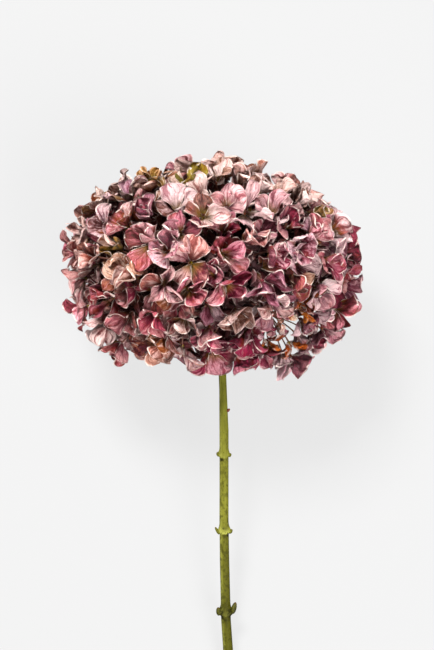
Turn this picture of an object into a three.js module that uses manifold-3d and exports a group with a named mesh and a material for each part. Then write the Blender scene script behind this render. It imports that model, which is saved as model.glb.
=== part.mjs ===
// A dried mophead hydrangea on its cut stem, lying on a table. Millimetres, +Z up.
// The head is laid out in its own frame: x to the photo's right, a up along the stem and f towards
// the camera, all from the middle of the head. Then it is laid down, with the stem's cut end and the
// pressed underside of the head on the table.
import * as THREE from 'three';
import Module from 'manifold-3d';

const wasm = await Module();
wasm.setup();

const DEG = Math.PI / 180;
const FULL_TURN = 2 * Math.PI;

// Scale of the photo: the head is 298 pixels wide and about 180 mm across.
const MM_PER_PX = 180 / 298;
const HEAD_PX = { x: 213, y: 262 };

// Half sizes of the dome that the floret centres stand on.
const DOME = { x: 83, a: 57, f: 77 };

// How the flower lies: the stem's cut end touches the table and the head's middle is this high.
const HEAD_HEIGHT = 75.5;
const STEM_LENGTH = 260;
const STEM_END_PX = 10.3;
const STEM_END_RADIUS = STEM_END_PX * MM_PER_PX / 2;
const END_REACH = Math.hypot(STEM_LENGTH, STEM_END_RADIUS);
const TILT = Math.asin(HEAD_HEIGHT / END_REACH) - Math.atan(STEM_END_RADIUS / STEM_LENGTH);

// Florets and their sepals.
const FLORET_COUNT = 115;
const SEPALS = 4;
const QUARTER = FULL_TURN / SEPALS;
const SEPAL_LENGTH = 18;
const SEPAL_THICKNESS = 0.7;
const CELL_MARGIN = 0.72;
const NOTCH_RADIUS = 1.9;
const CALYX_RADIUS = 1.25;
const CALYX_DEPTH = 1.7;
const PEDICEL_RADIUS = 0.5;
const PEDICEL_SUNK = 0.7;
const MID_REACH = 0.5;
const SHOULDER = { reach: 0.5, turn: 43 * DEG };
const FLANK = { reach: 0.38, turn: 36 * DEG };
const EDGE_LIFT = 0.26;
const SLOPE = { low: -6 * DEG, high: 44 * DEG };
const LEAN = 22 * DEG;
const CENTRE_LOWEST = 0.2;
const SHOULDER_EXCESS = 1.15;

// How sepals differ from their floret's cup: slope and curl in degrees, fold and length as shares.
const SEPAL_RANGES = { slope: [-12, 14], curl: [-42, 22], fold: [-0.35, 0.6], length: [0.9, 1.05] };

// Where the head is bare, and where the stem leaves it.
const BARE_SPOT = { px: 279, py: 329, radius: 17 };
const STEM_CLEARANCE = 13;

// Florets out of the photo's sight: their seed, the tries for each place, their cup and size.
const FILL_SEED = 4021;
const FILL_TRIES = 160;
const FILL_CUP = [12, 48];
const FILL_SIZE = [0.95, 1.1];
const OUTERMOST_DEPTH = 0.03;

// Forks of the rays, as shares of the way from the middle of the head to the florets.
const RAY_FORK = 0.4;
const TWIG_FORK = 0.67;
const FLORETS_PER_TWIG = 4.6;
const RAY_SHAPE = { sides: 5, root: 1.6, middle: 1.3, neck: 1.2, branch: 0.9 };
const TWIG_SHAPE = { sides: 4, root: 0.85, middle: 0, neck: 0.8, branch: 0.5 };
const RAY_SAG = 2.5;
const TWIG_SPREAD = 0.06;
const PEDICEL_SPREAD = 0.065;
const KNOT = { neck: 2.4, start: 0.35, past: 1.1, widening: 1.2 };
const SEAT_GAP = 0.3;

// The stem's middle line as photo pixels [x, y], and its width in pixels at the same places.
const STEM_LINE = [
  [218.5, 276, 6.6],
  [219.5, 320, 7],
  [222, 362, 7.4],
  [223, 390, 7.6],
  [224, 430, 9],
  [224, 520, 9],
  [224.5, 560, 9.4],
  [226, 620, 9.6],
  [228, 650, 9.9],
  [229.5, HEAD_PX.y + STEM_LENGTH / MM_PER_PX, STEM_END_PX],
];

// The stem's paired nodes: pixel height, how far the pair stands out, and half length, in mm.
const STEM_NODES = [
  { py: 454, bulge: 1.0, spread: 3.2 },
  { py: 530, bulge: 1.2, spread: 3.6 },
  { py: 612, bulge: 2.1, spread: 4.2 },
];
const NODE_ROUND = 0.3;
const STEM_SIDES = 10;
const STEM_TOP = -8.5;
const ROOTS_END = -44;
const PLAIN_RINGS = [STEM_TOP, ROOTS_END, -60, -90, -140, -185, -240, -STEM_LENGTH];
const NODE_STEPS = [-1.5, -0.6, 0.3, 1.4];
const STEM_LOOK = { colour: '#8a8536', roughness: 0.7 };
const PAPER_ROUGHNESS = 0.85;

// Side buds: pixel x and y of the middle, f, radius, length and sideways lean.
const BUDS = [
  [226.6, 409, 0.6, 1.0, 4.2, 0.25],
  [219.6, 451, 0.5, 1.1, 5.4, -0.3],
  [228.6, 452, -0.4, 1.1, 5.2, 0.3],
  [218.9, 528, 0.4, 1.3, 6.2, -0.3],
  [229.1, 526, 0.2, 1.3, 6.4, 0.3],
  [218.6, 607, 0.3, 1.6, 7.2, -0.35],
  [233.0, 606, 0.4, 1.7, 7.6, 0.4],
];
const BUD_SIDES = 5;

// A bud from foot to tip: share of its length from the middle, share of its radius.
const BUD_PROFILE = [[-0.5, 0.35], [0, 1], [0.5, 0.25]];

// Florets seen in the photo: pixel x and y, how much the sepals cup in degrees, and their size.
const SEEN_FLORETS = [
  [105, 207, 48, 1.0], [129, 199, 30, 1.0], [150, 188, 44, 1.0], [172, 190, 20, 0.95],
  [193, 184, 40, 1.0], [216, 180, 25, 0.95], [239, 178, 45, 1.0], [263, 187, 25, 1.0],
  [284, 191, 42, 0.95], [305, 200, 50, 1.0], [320, 219, 36, 0.95], [338, 229, 30, 1.0],
  [87, 233, 26, 0.95], [108, 231, 46, 1.0], [127, 226, 30, 1.0], [150, 220, 44, 1.0],
  [177, 210, 34, 1.0], [182, 236, 26, 1.0], [204, 219, 22, 1.0], [227, 208, 30, 1.0],
  [246, 209, 10, 1.1], [275, 212, 22, 1.0], [291, 224, 30, 1.0], [312, 238, 46, 1.0],
  [348, 250, 40, 1.0], [74, 252, 26, 0.95], [96, 259, 34, 1.0], [121, 253, 28, 0.95],
  [149, 245, 18, 1.05], [169, 254, 24, 1.0], [191, 266, 16, 1.05], [226, 257, 42, 1.05],
  [249, 240, 34, 1.0], [270, 256, 26, 1.05], [297, 250, 42, 1.0], [325, 262, 30, 1.0],
  [82, 282, 30, 1.0], [138, 279, 46, 1.15], [165, 287, 36, 1.0], [190, 293, 18, 1.0],
  [226, 288, 20, 1.0], [262, 286, 50, 1.15], [290, 281, 46, 1.0], [316, 292, 16, 1.0],
  [343, 284, 6, 1.1], [84, 310, 38, 1.0], [106, 328, 30, 1.0], [112, 302, 20, 0.95],
  [131, 317, 26, 1.0], [157, 318, 30, 1.05], [184, 322, 34, 1.0], [209, 331, 36, 1.0],
  [235, 314, 44, 1.05], [247, 336, 24, 1.0], [270, 307, 30, 0.9], [311, 317, 28, 1.0],
  [338, 312, 26, 1.0], [118, 347, 12, 0.95], [157, 346, 8, 1.0], [181, 351, 8, 1.05],
  [212, 356, 14, 1.05], [240, 358, 30, 0.9], [266, 351, 26, 1.0], [293, 361, 10, 1.05],
  [324, 334, 20, 1.05],
];

// Sprays: where each grows out of the stem (a), which way it points, and its colour in the photo.
const SPRAYS = [
  { name: 'spray_top', root: -10, polar: 0, turn: 0, colour: '#a98a7d' },
  { name: 'spray_upper_1', root: -19, polar: 50, turn: 45, colour: '#b0737f' },
  { name: 'spray_upper_2', root: -13, polar: 50, turn: 135, colour: '#a9766c' },
  { name: 'spray_upper_3', root: -19, polar: 50, turn: 225, colour: '#a27f70' },
  { name: 'spray_upper_4', root: -13, polar: 50, turn: 315, colour: '#a27c80' },
  { name: 'spray_lower_1', root: -36, polar: 104, turn: 0, colour: '#a5525e' },
  { name: 'spray_lower_2', root: -29, polar: 104, turn: 60, colour: '#a24658' },
  { name: 'spray_lower_3', root: -36, polar: 104, turn: 120, colour: '#a5605a' },
  { name: 'spray_lower_4', root: -29, polar: 104, turn: 180, colour: '#a35d4c' },
  { name: 'spray_lower_5', root: -36, polar: 104, turn: 240, colour: '#9c6258' },
  { name: 'spray_lower_6', root: -29, polar: 104, turn: 300, colour: '#9b5a62' },
];

// A repeatable run of numbers from 0 to 1, the same in any language.
const RANDOM_FACTOR = 16807;
const RANDOM_MODULUS = 2147483647;

function randomRun(seed) {
  let state = seed;
  return () => {
    state = (state * RANDOM_FACTOR) % RANDOM_MODULUS;
    return state / RANDOM_MODULUS;
  };
}

function kept(value, limits) {
  return Math.min(Math.max(value, limits.low), limits.high);
}

function between([low, high], draw) {
  return low + (high - low) * draw;
}

// The head's frame to the world: x stays, a leans up from the table and f faces up.
const AXIS_A = new THREE.Vector3(0, Math.cos(TILT), Math.sin(TILT));
const AXIS_F = new THREE.Vector3(0, -Math.sin(TILT), Math.cos(TILT));
const HEAD_CENTRE = new THREE.Vector3(0, 0, HEAD_HEIGHT);

function laidDown(x, a, f) {
  return HEAD_CENTRE.clone()
    .add(new THREE.Vector3(x, 0, 0))
    .addScaledVector(AXIS_A, a)
    .addScaledVector(AXIS_F, f);
}

function acrossFromPx(px) {
  return (px - HEAD_PX.x) * MM_PER_PX;
}

function upFromPx(py) {
  return (HEAD_PX.y - py) * MM_PER_PX;
}

// A closed solid from points and triangles that face outwards.
function solidFrom(points, triangles) {
  const vertProperties = new Float32Array(points.flatMap((point) => [point.x, point.y, point.z]));
  const triVerts = new Uint32Array(triangles.flat());
  return new wasm.Manifold(new wasm.Mesh({ numProp: 3, vertProperties, triVerts }));
}

// A closed tube through rings of points, each ring in the same turning order.
function tubeThrough(rings) {
  const sides = rings[0].length;
  const points = rings.flat();
  const triangles = [];
  for (let ring = 0; ring + 1 < rings.length; ring += 1) {
    for (let side = 0; side < sides; side += 1) {
      const here = ring * sides + side;
      const next = ring * sides + ((side + 1) % sides);
      triangles.push([here, next, here + sides], [next, next + sides, here + sides]);
    }
  }
  const last = (rings.length - 1) * sides;
  for (let side = 1; side + 1 < sides; side += 1) {
    triangles.push([0, side + 1, side], [last, last + side, last + side + 1]);
  }
  return solidFrom(points, triangles);
}

// A direction square to the given one.
const MOSTLY_SIDEWAYS = 0.7;

function squareTo(direction) {
  const helper = Math.abs(direction.x) < MOSTLY_SIDEWAYS ? new THREE.Vector3(1, 0, 0) : AXIS_A;
  return new THREE.Vector3().crossVectors(helper, direction).normalize();
}

// One round ring of points across a direction, which starts on the given side.
function ringAcross(centre, direction, side, radius, sides) {
  const first = side.clone().projectOnPlane(direction).normalize();
  const second = new THREE.Vector3().crossVectors(direction, first);
  return Array.from({ length: sides }, (_, step) => {
    const angle = (step / sides) * FULL_TURN;
    return centre.clone()
      .addScaledVector(first, radius * Math.cos(angle))
      .addScaledVector(second, radius * Math.sin(angle));
  });
}

// Where the branches of a fork begin: side by side just inside its knot, in the pattern of their own
// ends drawn together, so that none crosses another.
function branchStarts(bend, fork, ends, spread) {
  const way = fork.clone().sub(bend).normalize();
  const middle = meanOf(ends);
  return ends.map((end) => (
    end.clone().sub(middle).multiplyScalar(spread).projectOnPlane(way).add(fork)
      .addScaledVector(way, KNOT.start)
  ));
}

// A stalk that widens to a knot at its end, from which its branches start.
function stalk(from, bend, fork, shape, starts) {
  const first = bend.clone().sub(from).normalize();
  const second = fork.clone().sub(bend).normalize();
  const across = starts.map((start) => start.clone().sub(fork).projectOnPlane(second).length());
  const flats = Math.cos(Math.PI / shape.sides);
  const rim = ((Math.max(...across) + shape.branch / 2) / flats) * KNOT.widening;
  const side = squareTo(second);
  const rings = [ringAcross(from, first, side, shape.root, shape.sides)];
  if (shape.middle > 0) {
    const halfway = first.clone().add(second).normalize();
    rings.push(ringAcross(bend, halfway, side, shape.middle, shape.sides));
  }
  const neck = fork.clone().addScaledVector(second, -KNOT.neck);
  const end = fork.clone().addScaledVector(second, KNOT.past);
  rings.push(ringAcross(neck, second, side, shape.neck, shape.sides));
  rings.push(ringAcross(end, second, side, rim, shape.sides));
  return tubeThrough(rings);
}

// Floret centres

function onDome(x, a) {
  const share = (x / DOME.x) ** 2 + (a / DOME.a) ** 2;
  return DOME.f * Math.sqrt(Math.max(1 - share, OUTERMOST_DEPTH));
}

const STEM_EXIT = new THREE.Vector3(acrossFromPx(222), upFromPx(362), 0);

function isCovered(spot) {
  const besideStem = Math.hypot(spot.x - STEM_EXIT.x, spot.z) < STEM_CLEARANCE && spot.y < 0;
  const across = spot.x - acrossFromPx(BARE_SPOT.px);
  const up = spot.y - upFromPx(BARE_SPOT.py);
  return !besideStem && Math.hypot(across, up) > BARE_SPOT.radius;
}

// The florets of the photo first, then one more at a time in the widest gap among seeded tries.
// Spots hold x, a and f as x, y and z.
function floretSpots() {
  const spots = SEEN_FLORETS.map(([px, py, cup, size]) => {
    const x = acrossFromPx(px);
    const a = upFromPx(py);
    return { at: new THREE.Vector3(x, a, onDome(x, a)), cup, size };
  });
  const draw = randomRun(FILL_SEED);
  while (spots.length < FLORET_COUNT) {
    let best = null;
    let widest = 0;
    for (let attempt = 0; attempt < FILL_TRIES; attempt += 1) {
      const height = 2 * draw() - 1;
      const turn = FULL_TURN * draw();
      const level = Math.sqrt(1 - height * height);
      const spot = new THREE.Vector3(
        DOME.x * level * Math.cos(turn),
        DOME.a * height,
        DOME.f * level * Math.sin(turn),
      );
      const nearest = Math.min(
        spot.distanceTo(STEM_EXIT),
        ...spots.map((other) => spot.distanceTo(other.at)),
      );
      if (nearest > widest && isCovered(spot)) {
        widest = nearest;
        best = spot;
      }
    }
    spots.push({ at: best, cup: between(FILL_CUP, draw()), size: between(FILL_SIZE, draw()) });
  }
  return spots;
}

// Each floret has a cone of the head to itself, whose walls are half-way to its neighbours.
function cellWalls(spots, index) {
  const own = spots[index].direction;
  const others = spots.filter((_, other) => other !== index).map((spot) => spot.direction);
  const stemWay = laidDown(STEM_EXIT.x, STEM_EXIT.y, STEM_EXIT.z).sub(HEAD_CENTRE).normalize();
  return [...others, stemWay].map((other) => other.clone().sub(own).normalize());
}

// How much of the way from the floret's centre to a point stays inside the cell.
function shareInside(centre, point, walls) {
  const step = point.clone().sub(centre);
  const start = centre.clone().sub(HEAD_CENTRE);
  let share = 1;
  for (const wall of walls) {
    const climb = wall.dot(step);
    if (climb > 0) {
      share = Math.min(share, (-CELL_MARGIN - wall.dot(start)) / climb);
    }
  }
  return share;
}

// Nothing of the head goes below the table: it is pressed in towards the middle.
function pressed(point, lowest = 0) {
  if (point.z >= lowest) {
    return point;
  }
  const share = (HEAD_HEIGHT - lowest) / (HEAD_HEIGHT - point.z);
  return HEAD_CENTRE.clone().lerp(point, share);
}

// One sepal, as points of its upper face: middle, shoulders, flanks and tip.
function sepalPoints(frame, angle, length, slope, curl, fold) {
  const outerSlope = slope + curl;
  const midOut = MID_REACH * Math.cos(slope);
  const midUp = MID_REACH * Math.sin(slope);
  const place = (turn, out, up) => frame.at(angle + turn, length * out, length * up);
  const shoulderOut = SHOULDER.reach * Math.cos(slope);
  const shoulderUp = SHOULDER.reach * Math.sin(slope);
  const flankOut = midOut + FLANK.reach * Math.cos(outerSlope);
  const flankUp = midUp + FLANK.reach * Math.sin(outerSlope);
  const lift = EDGE_LIFT * fold;
  const tipOut = midOut + (1 - MID_REACH) * Math.cos(outerSlope);
  const tipUp = midUp + (1 - MID_REACH) * Math.sin(outerSlope);
  return [
    place(0, midOut, midUp),
    place(-SHOULDER.turn, shoulderOut, shoulderUp + lift),
    place(-FLANK.turn, flankOut, flankUp + lift),
    place(0, tipOut, tipUp),
    place(FLANK.turn, flankOut, flankUp + lift),
    place(SHOULDER.turn, shoulderOut, shoulderUp + lift),
  ];
}

const MID = 0;
const TIP = 3;
const SHOULDER_AND_FLANK = [[1, 2], [5, 4]];
const POINTS_PER_SEPAL = 6;

// The floret's own frame: centre, facing direction and two directions across it.
function floretFrame(spot, draw) {
  const { x, y, z } = spot.at;
  const outward = laidDown(x / DOME.x ** 2, y / DOME.a ** 2, z / DOME.f ** 2).sub(HEAD_CENTRE);
  const facing = outward.normalize();
  const east = squareTo(facing);
  const leanWay = FULL_TURN * draw();
  const hinge = east.clone().applyAxisAngle(facing, leanWay);
  const lean = LEAN * draw();
  facing.applyAxisAngle(hinge, lean);
  east.applyAxisAngle(hinge, lean);
  const north = new THREE.Vector3().crossVectors(facing, east);
  const centre = pressed(spot.centre, CENTRE_LOWEST);
  return {
    centre,
    facing,
    at: (angle, out, up) => centre.clone()
      .addScaledVector(east, out * Math.cos(angle))
      .addScaledVector(north, out * Math.sin(angle))
      .addScaledVector(facing, up),
  };
}

// A sepal drawn in until it stays inside its floret's cell: each edge point for itself, the middle
// by the mean of the others and the shoulders no further than the flanks.
function fitted(points, centre, walls) {
  const shares = points.map((point) => shareInside(centre, point, walls));
  for (const [shoulder, flank] of SHOULDER_AND_FLANK) {
    shares[shoulder] = Math.min(shares[shoulder], shares[flank] * SHOULDER_EXCESS);
  }
  const [right, left] = SHOULDER_AND_FLANK.map(([, flank]) => shares[flank]);
  shares[MID] = Math.min(shares[MID], (shares[TIP] + right + left) / 3);
  return points.map((point, index) => centre.clone().lerp(point, shares[index]));
}

// The upper face of a floret: centre, four notches, then six points for each sepal.
function floretFace(spot, frame, draw) {
  const start = FULL_TURN * draw();
  const notches = [];
  const sepals = [];
  for (let sepal = 0; sepal < SEPALS; sepal += 1) {
    const angle = start + sepal * QUARTER;
    notches.push(frame.at(angle + QUARTER / 2, NOTCH_RADIUS, 0));
    const slope = (spot.cup + between(SEPAL_RANGES.slope, draw())) * DEG;
    const curl = between(SEPAL_RANGES.curl, draw()) * DEG;
    const fold = between(SEPAL_RANGES.fold, draw());
    const length = SEPAL_LENGTH * spot.size * between(SEPAL_RANGES.length, draw());
    const points = sepalPoints(frame, angle, length, kept(slope, SLOPE), curl, fold);
    sepals.push(fitted(points, frame.centre, spot.walls));
  }
  return [frame.centre.clone(), ...notches, ...sepals.flat()].map((point) => pressed(point));
}

function notchIndex(sepal) {
  return 1 + ((sepal + SEPALS) % SEPALS);
}

function sepalStart(sepal) {
  return 1 + SEPALS + sepal * POINTS_PER_SEPAL;
}

// The floret's rim, once round, sepal by sepal, and the fans that fill each sepal.
function sepalRim(sepal) {
  const outline = [1, 2, 3, 4, 5].map((step) => sepalStart(sepal) + step);
  return [notchIndex(sepal - 1), ...outline, notchIndex(sepal)];
}

function upperTriangles() {
  const triangles = [];
  for (let sepal = 0; sepal < SEPALS; sepal += 1) {
    const middle = sepalStart(sepal) + MID;
    const fan = [0, ...sepalRim(sepal), 0];
    for (let step = 0; step + 1 < fan.length; step += 1) {
      triangles.push([fan[step], fan[step + 1], middle]);
    }
  }
  return triangles;
}

function faceNormals(points, triangles, facing) {
  const normals = points.map(() => new THREE.Vector3());
  for (const [first, second, third] of triangles) {
    const side = points[second].clone().sub(points[first]);
    const other = points[third].clone().sub(points[first]);
    const normal = side.cross(other);
    [first, second, third].forEach((corner) => normals[corner].add(normal));
  }
  return normals.map((normal, index) => (index <= SEPALS ? facing.clone() : normal.normalize()));
}

// The same face a sepal's thickness further in, with the calyx under the notches.
function lowerFace(upper, normals, frame) {
  return upper.map((point, index) => {
    if (index > 0 && index <= SEPALS) {
      const away = point.clone().sub(frame.centre).setLength(CALYX_RADIUS);
      return frame.centre.clone().add(away).addScaledVector(frame.facing, -CALYX_DEPTH);
    }
    return point.clone().addScaledVector(normals[index], -SEPAL_THICKNESS);
  });
}

// What lies on the table is flat: where the lower face would sink, both faces are raised.
function raiseFromTable(upper, lower) {
  lower.forEach((point, index) => {
    const sunk = Math.max(0, -point.z);
    point.z += sunk;
    upper[index].z += index > SEPALS ? sunk : 0;
  });
}

// The pedicel's end: the calyx's corners drawn together, turned across the pedicel and sunk in its knot.
function pedicelEnd(lower, frame, joint) {
  const way = joint.clone().sub(frame.centre).normalize();
  const turned = new THREE.Quaternion().setFromUnitVectors(frame.facing.clone().negate(), way);
  return lower.slice(1, 1 + SEPALS).map((corner) => {
    const away = corner.clone().sub(frame.centre).projectOnPlane(frame.facing);
    away.setLength(PEDICEL_RADIUS).applyQuaternion(turned);
    return joint.clone().addScaledVector(way, PEDICEL_SUNK).add(away);
  });
}

// A floret and its pedicel, one closed body: both faces, the rim between them and the pedicel that
// leaves from the calyx.
function floret(spot, joint, draw) {
  const frame = floretFrame(spot, draw);
  const upper = floretFace(spot, frame, draw);
  const triangles = upperTriangles();
  const lower = lowerFace(upper, faceNormals(upper, triangles, frame.facing), frame);
  raiseFromTable(upper, lower);
  const ends = pedicelEnd(lower, frame, joint);
  const count = upper.length;
  const faces = [...triangles];
  for (let sepal = 0; sepal < SEPALS; sepal += 1) {
    const middle = sepalStart(sepal) + MID + count;
    const rim = sepalRim(sepal);
    faces.push([rim[0] + count, rim[rim.length - 1] + count, middle]);
    for (let step = 0; step + 1 < rim.length; step += 1) {
      const [here, next] = [rim[step], rim[step + 1]];
      faces.push([next + count, here + count, middle]);
      faces.push([here, here + count, next], [next, here + count, next + count]);
    }
    const [ring, nextRing] = [notchIndex(sepal - 1), notchIndex(sepal)];
    const [end, nextEnd] = [2 * count + ring - 1, 2 * count + nextRing - 1];
    faces.push([ring + count, end, nextRing + count], [nextRing + count, end, nextEnd]);
  }
  const cap = 2 * count;
  faces.push([cap, cap + 2, cap + 1], [cap, cap + 3, cap + 2]);
  return compactSolid([...upper, ...lower, ...ends], faces);
}

// The unused lower centre is left out before the solid is made.
function compactSolid(points, faces) {
  const used = [...new Set(faces.flat())];
  const renamed = new Map(used.map((old, index) => [old, index]));
  const usedPoints = used.map((old) => points[old]);
  return solidFrom(usedPoints, faces.map((face) => face.map((old) => renamed.get(old))));
}

// Stem

// The stem's middle line and radius at a height, between the measured places on either side of it.
function stemAt(a) {
  const py = HEAD_PX.y - a / MM_PER_PX;
  const after = STEM_LINE.findIndex(([, lower]) => lower >= py);
  const index = after < 0 ? STEM_LINE.length - 1 : Math.max(1, after);
  const [x0, y0, w0] = STEM_LINE[index - 1];
  const [x1, y1, w1] = STEM_LINE[index];
  const share = (py - y0) / (y1 - y0);
  const width = w0 + (w1 - w0) * share;
  return { x: acrossFromPx(x0 + (x1 - x0) * share), radius: width * MM_PER_PX / 2 };
}

// One ring of the stem, with one corner towards the table.
function stemRing(a, grown) {
  const { x, radius } = stemAt(a);
  return Array.from({ length: STEM_SIDES }, (_, side) => {
    const angle = (side / STEM_SIDES) * FULL_TURN - FULL_TURN / 4;
    const sideways = Math.cos(angle) ** 2;
    const bulges = STEM_NODES.map(({ py, bulge, spread }) => {
      const steps = (a - upFromPx(py)) / spread;
      return bulge * Math.exp(-steps * steps) * (NODE_ROUND + (1 - NODE_ROUND) * sideways);
    });
    const reach = radius + grown + bulges.reduce((sum, bulge) => sum + bulge, 0);
    return laidDown(x + reach * Math.cos(angle), a, reach * Math.sin(angle));
  });
}

function stemBody() {
  const nodeRings = STEM_NODES.flatMap(({ py, spread }) => (
    NODE_STEPS.map((step) => upFromPx(py) + step * spread)
  ));
  const heights = [...PLAIN_RINGS, ...nodeRings].sort((low, high) => high - low);
  return tubeThrough(heights.map((a) => stemRing(a, 0)));
}

// The top of the stem a seat's gap larger, which the roots of the sprays are cut by.
function stemSeat() {
  const top = stemRing(STEM_TOP, SEAT_GAP).map((point) => point.addScaledVector(AXIS_A, SEAT_GAP));
  return tubeThrough([top, stemRing(ROOTS_END, SEAT_GAP)]);
}

// A side bud: a small spindle, wide in the middle, half sunk in the stem.
function bud(px, py, f, radius, length, lean) {
  const middle = laidDown(acrossFromPx(px), upFromPx(py), f);
  const way = AXIS_A.clone().addScaledVector(new THREE.Vector3(1, 0, 0), lean).normalize();
  const side = squareTo(way);
  return tubeThrough(BUD_PROFILE.map(([along, width]) => {
    const place = middle.clone().addScaledVector(way, along * length);
    return ringAcross(place, way, side, width * radius, BUD_SIDES);
  }));
}

function stem() {
  return wasm.Manifold.union([stemBody(), ...BUDS.map((values) => bud(...values))]);
}

// Sprays

function sprayWay({ polar, turn }) {
  const out = Math.sin(polar * DEG);
  const up = Math.cos(polar * DEG);
  return new THREE.Vector3(out * Math.cos(turn * DEG), up, out * Math.sin(turn * DEG));
}

// The spray whose direction is closest to the floret's, on the dome made round.
function ownerOf(spot) {
  const { x, y, z } = spot.at;
  const way = new THREE.Vector3(x / DOME.x, y / DOME.a, z / DOME.f).normalize();
  const closeness = SPRAYS.map((spray) => way.dot(sprayWay(spray)));
  return closeness.indexOf(Math.max(...closeness));
}

function meanOf(points) {
  const sum = points.reduce((total, point) => total.add(point), new THREE.Vector3());
  return sum.divideScalar(points.length);
}

// The florets of a spray by their turn round its middle, in equal groups, one for each twig.
function twigGroups(spots) {
  const middle = meanOf(spots.map((spot) => spot.centre)).sub(HEAD_CENTRE).normalize();
  const east = squareTo(middle);
  const north = new THREE.Vector3().crossVectors(middle, east);
  const turnOf = (spot) => Math.atan2(spot.direction.dot(north), spot.direction.dot(east));
  const sorted = [...spots].sort((one, two) => turnOf(one) - turnOf(two));
  const groups = Math.max(1, Math.round(spots.length / FLORETS_PER_TWIG));
  return Array.from({ length: groups }, (_, group) => (
    sorted.filter((_spot, order) => Math.floor((order * groups) / sorted.length) === group)
  ));
}

const FLORET_SEED = 911;
const SEED_STEP = 37;

// Each floret has a run of its own. Its first number is much the same for every seed, so it is left out.
function floretRun(number) {
  const draw = randomRun(FLORET_SEED + SEED_STEP * number);
  draw();
  return draw;
}

// A twig from its start on the ray to its knot, with the florets that grow from the knot.
function twig(from, knot, group) {
  const starts = branchStarts(from, knot, group.map((spot) => spot.centre), PEDICEL_SPREAD);
  const bend = from.clone().lerp(knot, 0.5);
  const florets = group.map((spot, place) => floret(spot, starts[place], floretRun(spot.number)));
  return [stalk(from, bend, knot, TWIG_SHAPE, starts), ...florets];
}

// A spray: the ray out of the stem, its twigs and their florets, joined into one body.
function spray({ root, polar }, spots, seat) {
  const start = laidDown(stemAt(root).x, root, 0);
  const fork = HEAD_CENTRE.clone().lerp(meanOf(spots.map((spot) => spot.centre)), RAY_FORK);
  const sag = polar > 0 ? RAY_SAG : 0;
  const bend = start.clone().lerp(fork, 0.5).addScaledVector(AXIS_A, -sag);
  const groups = twigGroups(spots);
  const knots = groups.map((group) => (
    HEAD_CENTRE.clone().lerp(meanOf(group.map((spot) => spot.centre)), TWIG_FORK)
  ));
  const twigStarts = branchStarts(bend, fork, knots, TWIG_SPREAD);
  const twigs = groups.flatMap((group, order) => twig(twigStarts[order], knots[order], group));
  const ray = stalk(start, bend, fork, RAY_SHAPE, twigStarts);
  return wasm.Manifold.union([ray, ...twigs]).subtract(seat);
}

// Meshes

function meshOf(solid, name, colour, roughness) {
  const { vertProperties, triVerts } = solid.getMesh();
  const geometry = new THREE.BufferGeometry();
  geometry.setAttribute('position', new THREE.BufferAttribute(new Float32Array(vertProperties), 3));
  geometry.setIndex(new THREE.BufferAttribute(new Uint32Array(triVerts), 1));
  const material = new THREE.MeshStandardMaterial({ color: colour, roughness, metalness: 0 });
  const mesh = new THREE.Mesh(geometry, material);
  mesh.name = name;
  return mesh;
}

function hydrangea() {
  const spots = floretSpots();
  spots.forEach((spot, number) => {
    spot.number = number + 1;
    spot.centre = laidDown(spot.at.x, spot.at.y, spot.at.z);
    spot.direction = spot.centre.clone().sub(HEAD_CENTRE).normalize();
    spot.spray = ownerOf(spot);
  });
  spots.forEach((spot, index) => {
    spot.walls = cellWalls(spots, index);
  });
  const seat = stemSeat();
  const group = new THREE.Group();
  group.name = 'dried_hydrangea';
  group.add(meshOf(stem(), 'stem', STEM_LOOK.colour, STEM_LOOK.roughness));
  SPRAYS.forEach((settings, index) => {
    const own = spots.filter((spot) => spot.spray === index);
    group.add(meshOf(spray(settings, own, seat), settings.name, settings.colour, PAPER_ROUGHNESS));
  });
  const box = new THREE.Box3().setFromObject(group);
  const middle = box.getCenter(new THREE.Vector3());
  group.children.forEach((mesh) => {
    mesh.geometry.translate(-middle.x, -middle.y, -box.min.z);
  });
  return group;
}

export default hydrangea();
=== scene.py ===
"""A dried mophead hydrangea on its cut stem, dressed over its CAD frame. Metres, +Z up."""

import math

import bpy
import numpy as np
from mathutils import Matrix, Vector


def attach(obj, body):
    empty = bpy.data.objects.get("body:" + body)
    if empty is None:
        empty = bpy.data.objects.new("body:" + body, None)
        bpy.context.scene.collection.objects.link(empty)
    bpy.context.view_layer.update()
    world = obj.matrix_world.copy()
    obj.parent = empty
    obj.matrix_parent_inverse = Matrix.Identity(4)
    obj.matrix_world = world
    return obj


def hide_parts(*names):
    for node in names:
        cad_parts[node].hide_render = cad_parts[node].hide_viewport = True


bl_info = {
    "name": "Dried hydrangea",
    "version": (1, 0, 0),
    "blender": (4, 5, 0),
    "location": "View3D > Sidebar > Hydrangea",
    "description": "Builds a dried mophead hydrangea over its CAD frame",
    "category": "Add Mesh",
}

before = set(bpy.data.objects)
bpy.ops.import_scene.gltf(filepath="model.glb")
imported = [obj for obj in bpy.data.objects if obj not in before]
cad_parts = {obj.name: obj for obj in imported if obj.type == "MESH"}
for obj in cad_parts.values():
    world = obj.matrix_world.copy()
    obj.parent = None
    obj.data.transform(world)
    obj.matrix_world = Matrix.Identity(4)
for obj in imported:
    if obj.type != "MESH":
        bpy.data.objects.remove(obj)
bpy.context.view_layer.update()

MM = 0.001

# Scale of the photo, as in the CAD model: pixels of the photo and the head's middle in it.
MM_PER_PX = 180 / 298
HEAD_PX = (213, 262)
PHOTO_SIZE = (434, 650)

# How the flower lies, in millimetres, and the stem's cut end as photo pixels (x, width).
DOME = np.array([83.0, 57.0, 77.0])
HEAD_HEIGHT = 75.5
STEM_LENGTH = 260
STEM_END_PX = (229.5, 10.3)
STEM_END_RADIUS = STEM_END_PX[1] * MM_PER_PX / 2
END_REACH = math.hypot(STEM_LENGTH, STEM_END_RADIUS)
TILT = math.asin(HEAD_HEIGHT / END_REACH) - math.atan(STEM_END_RADIUS / STEM_LENGTH)

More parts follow.
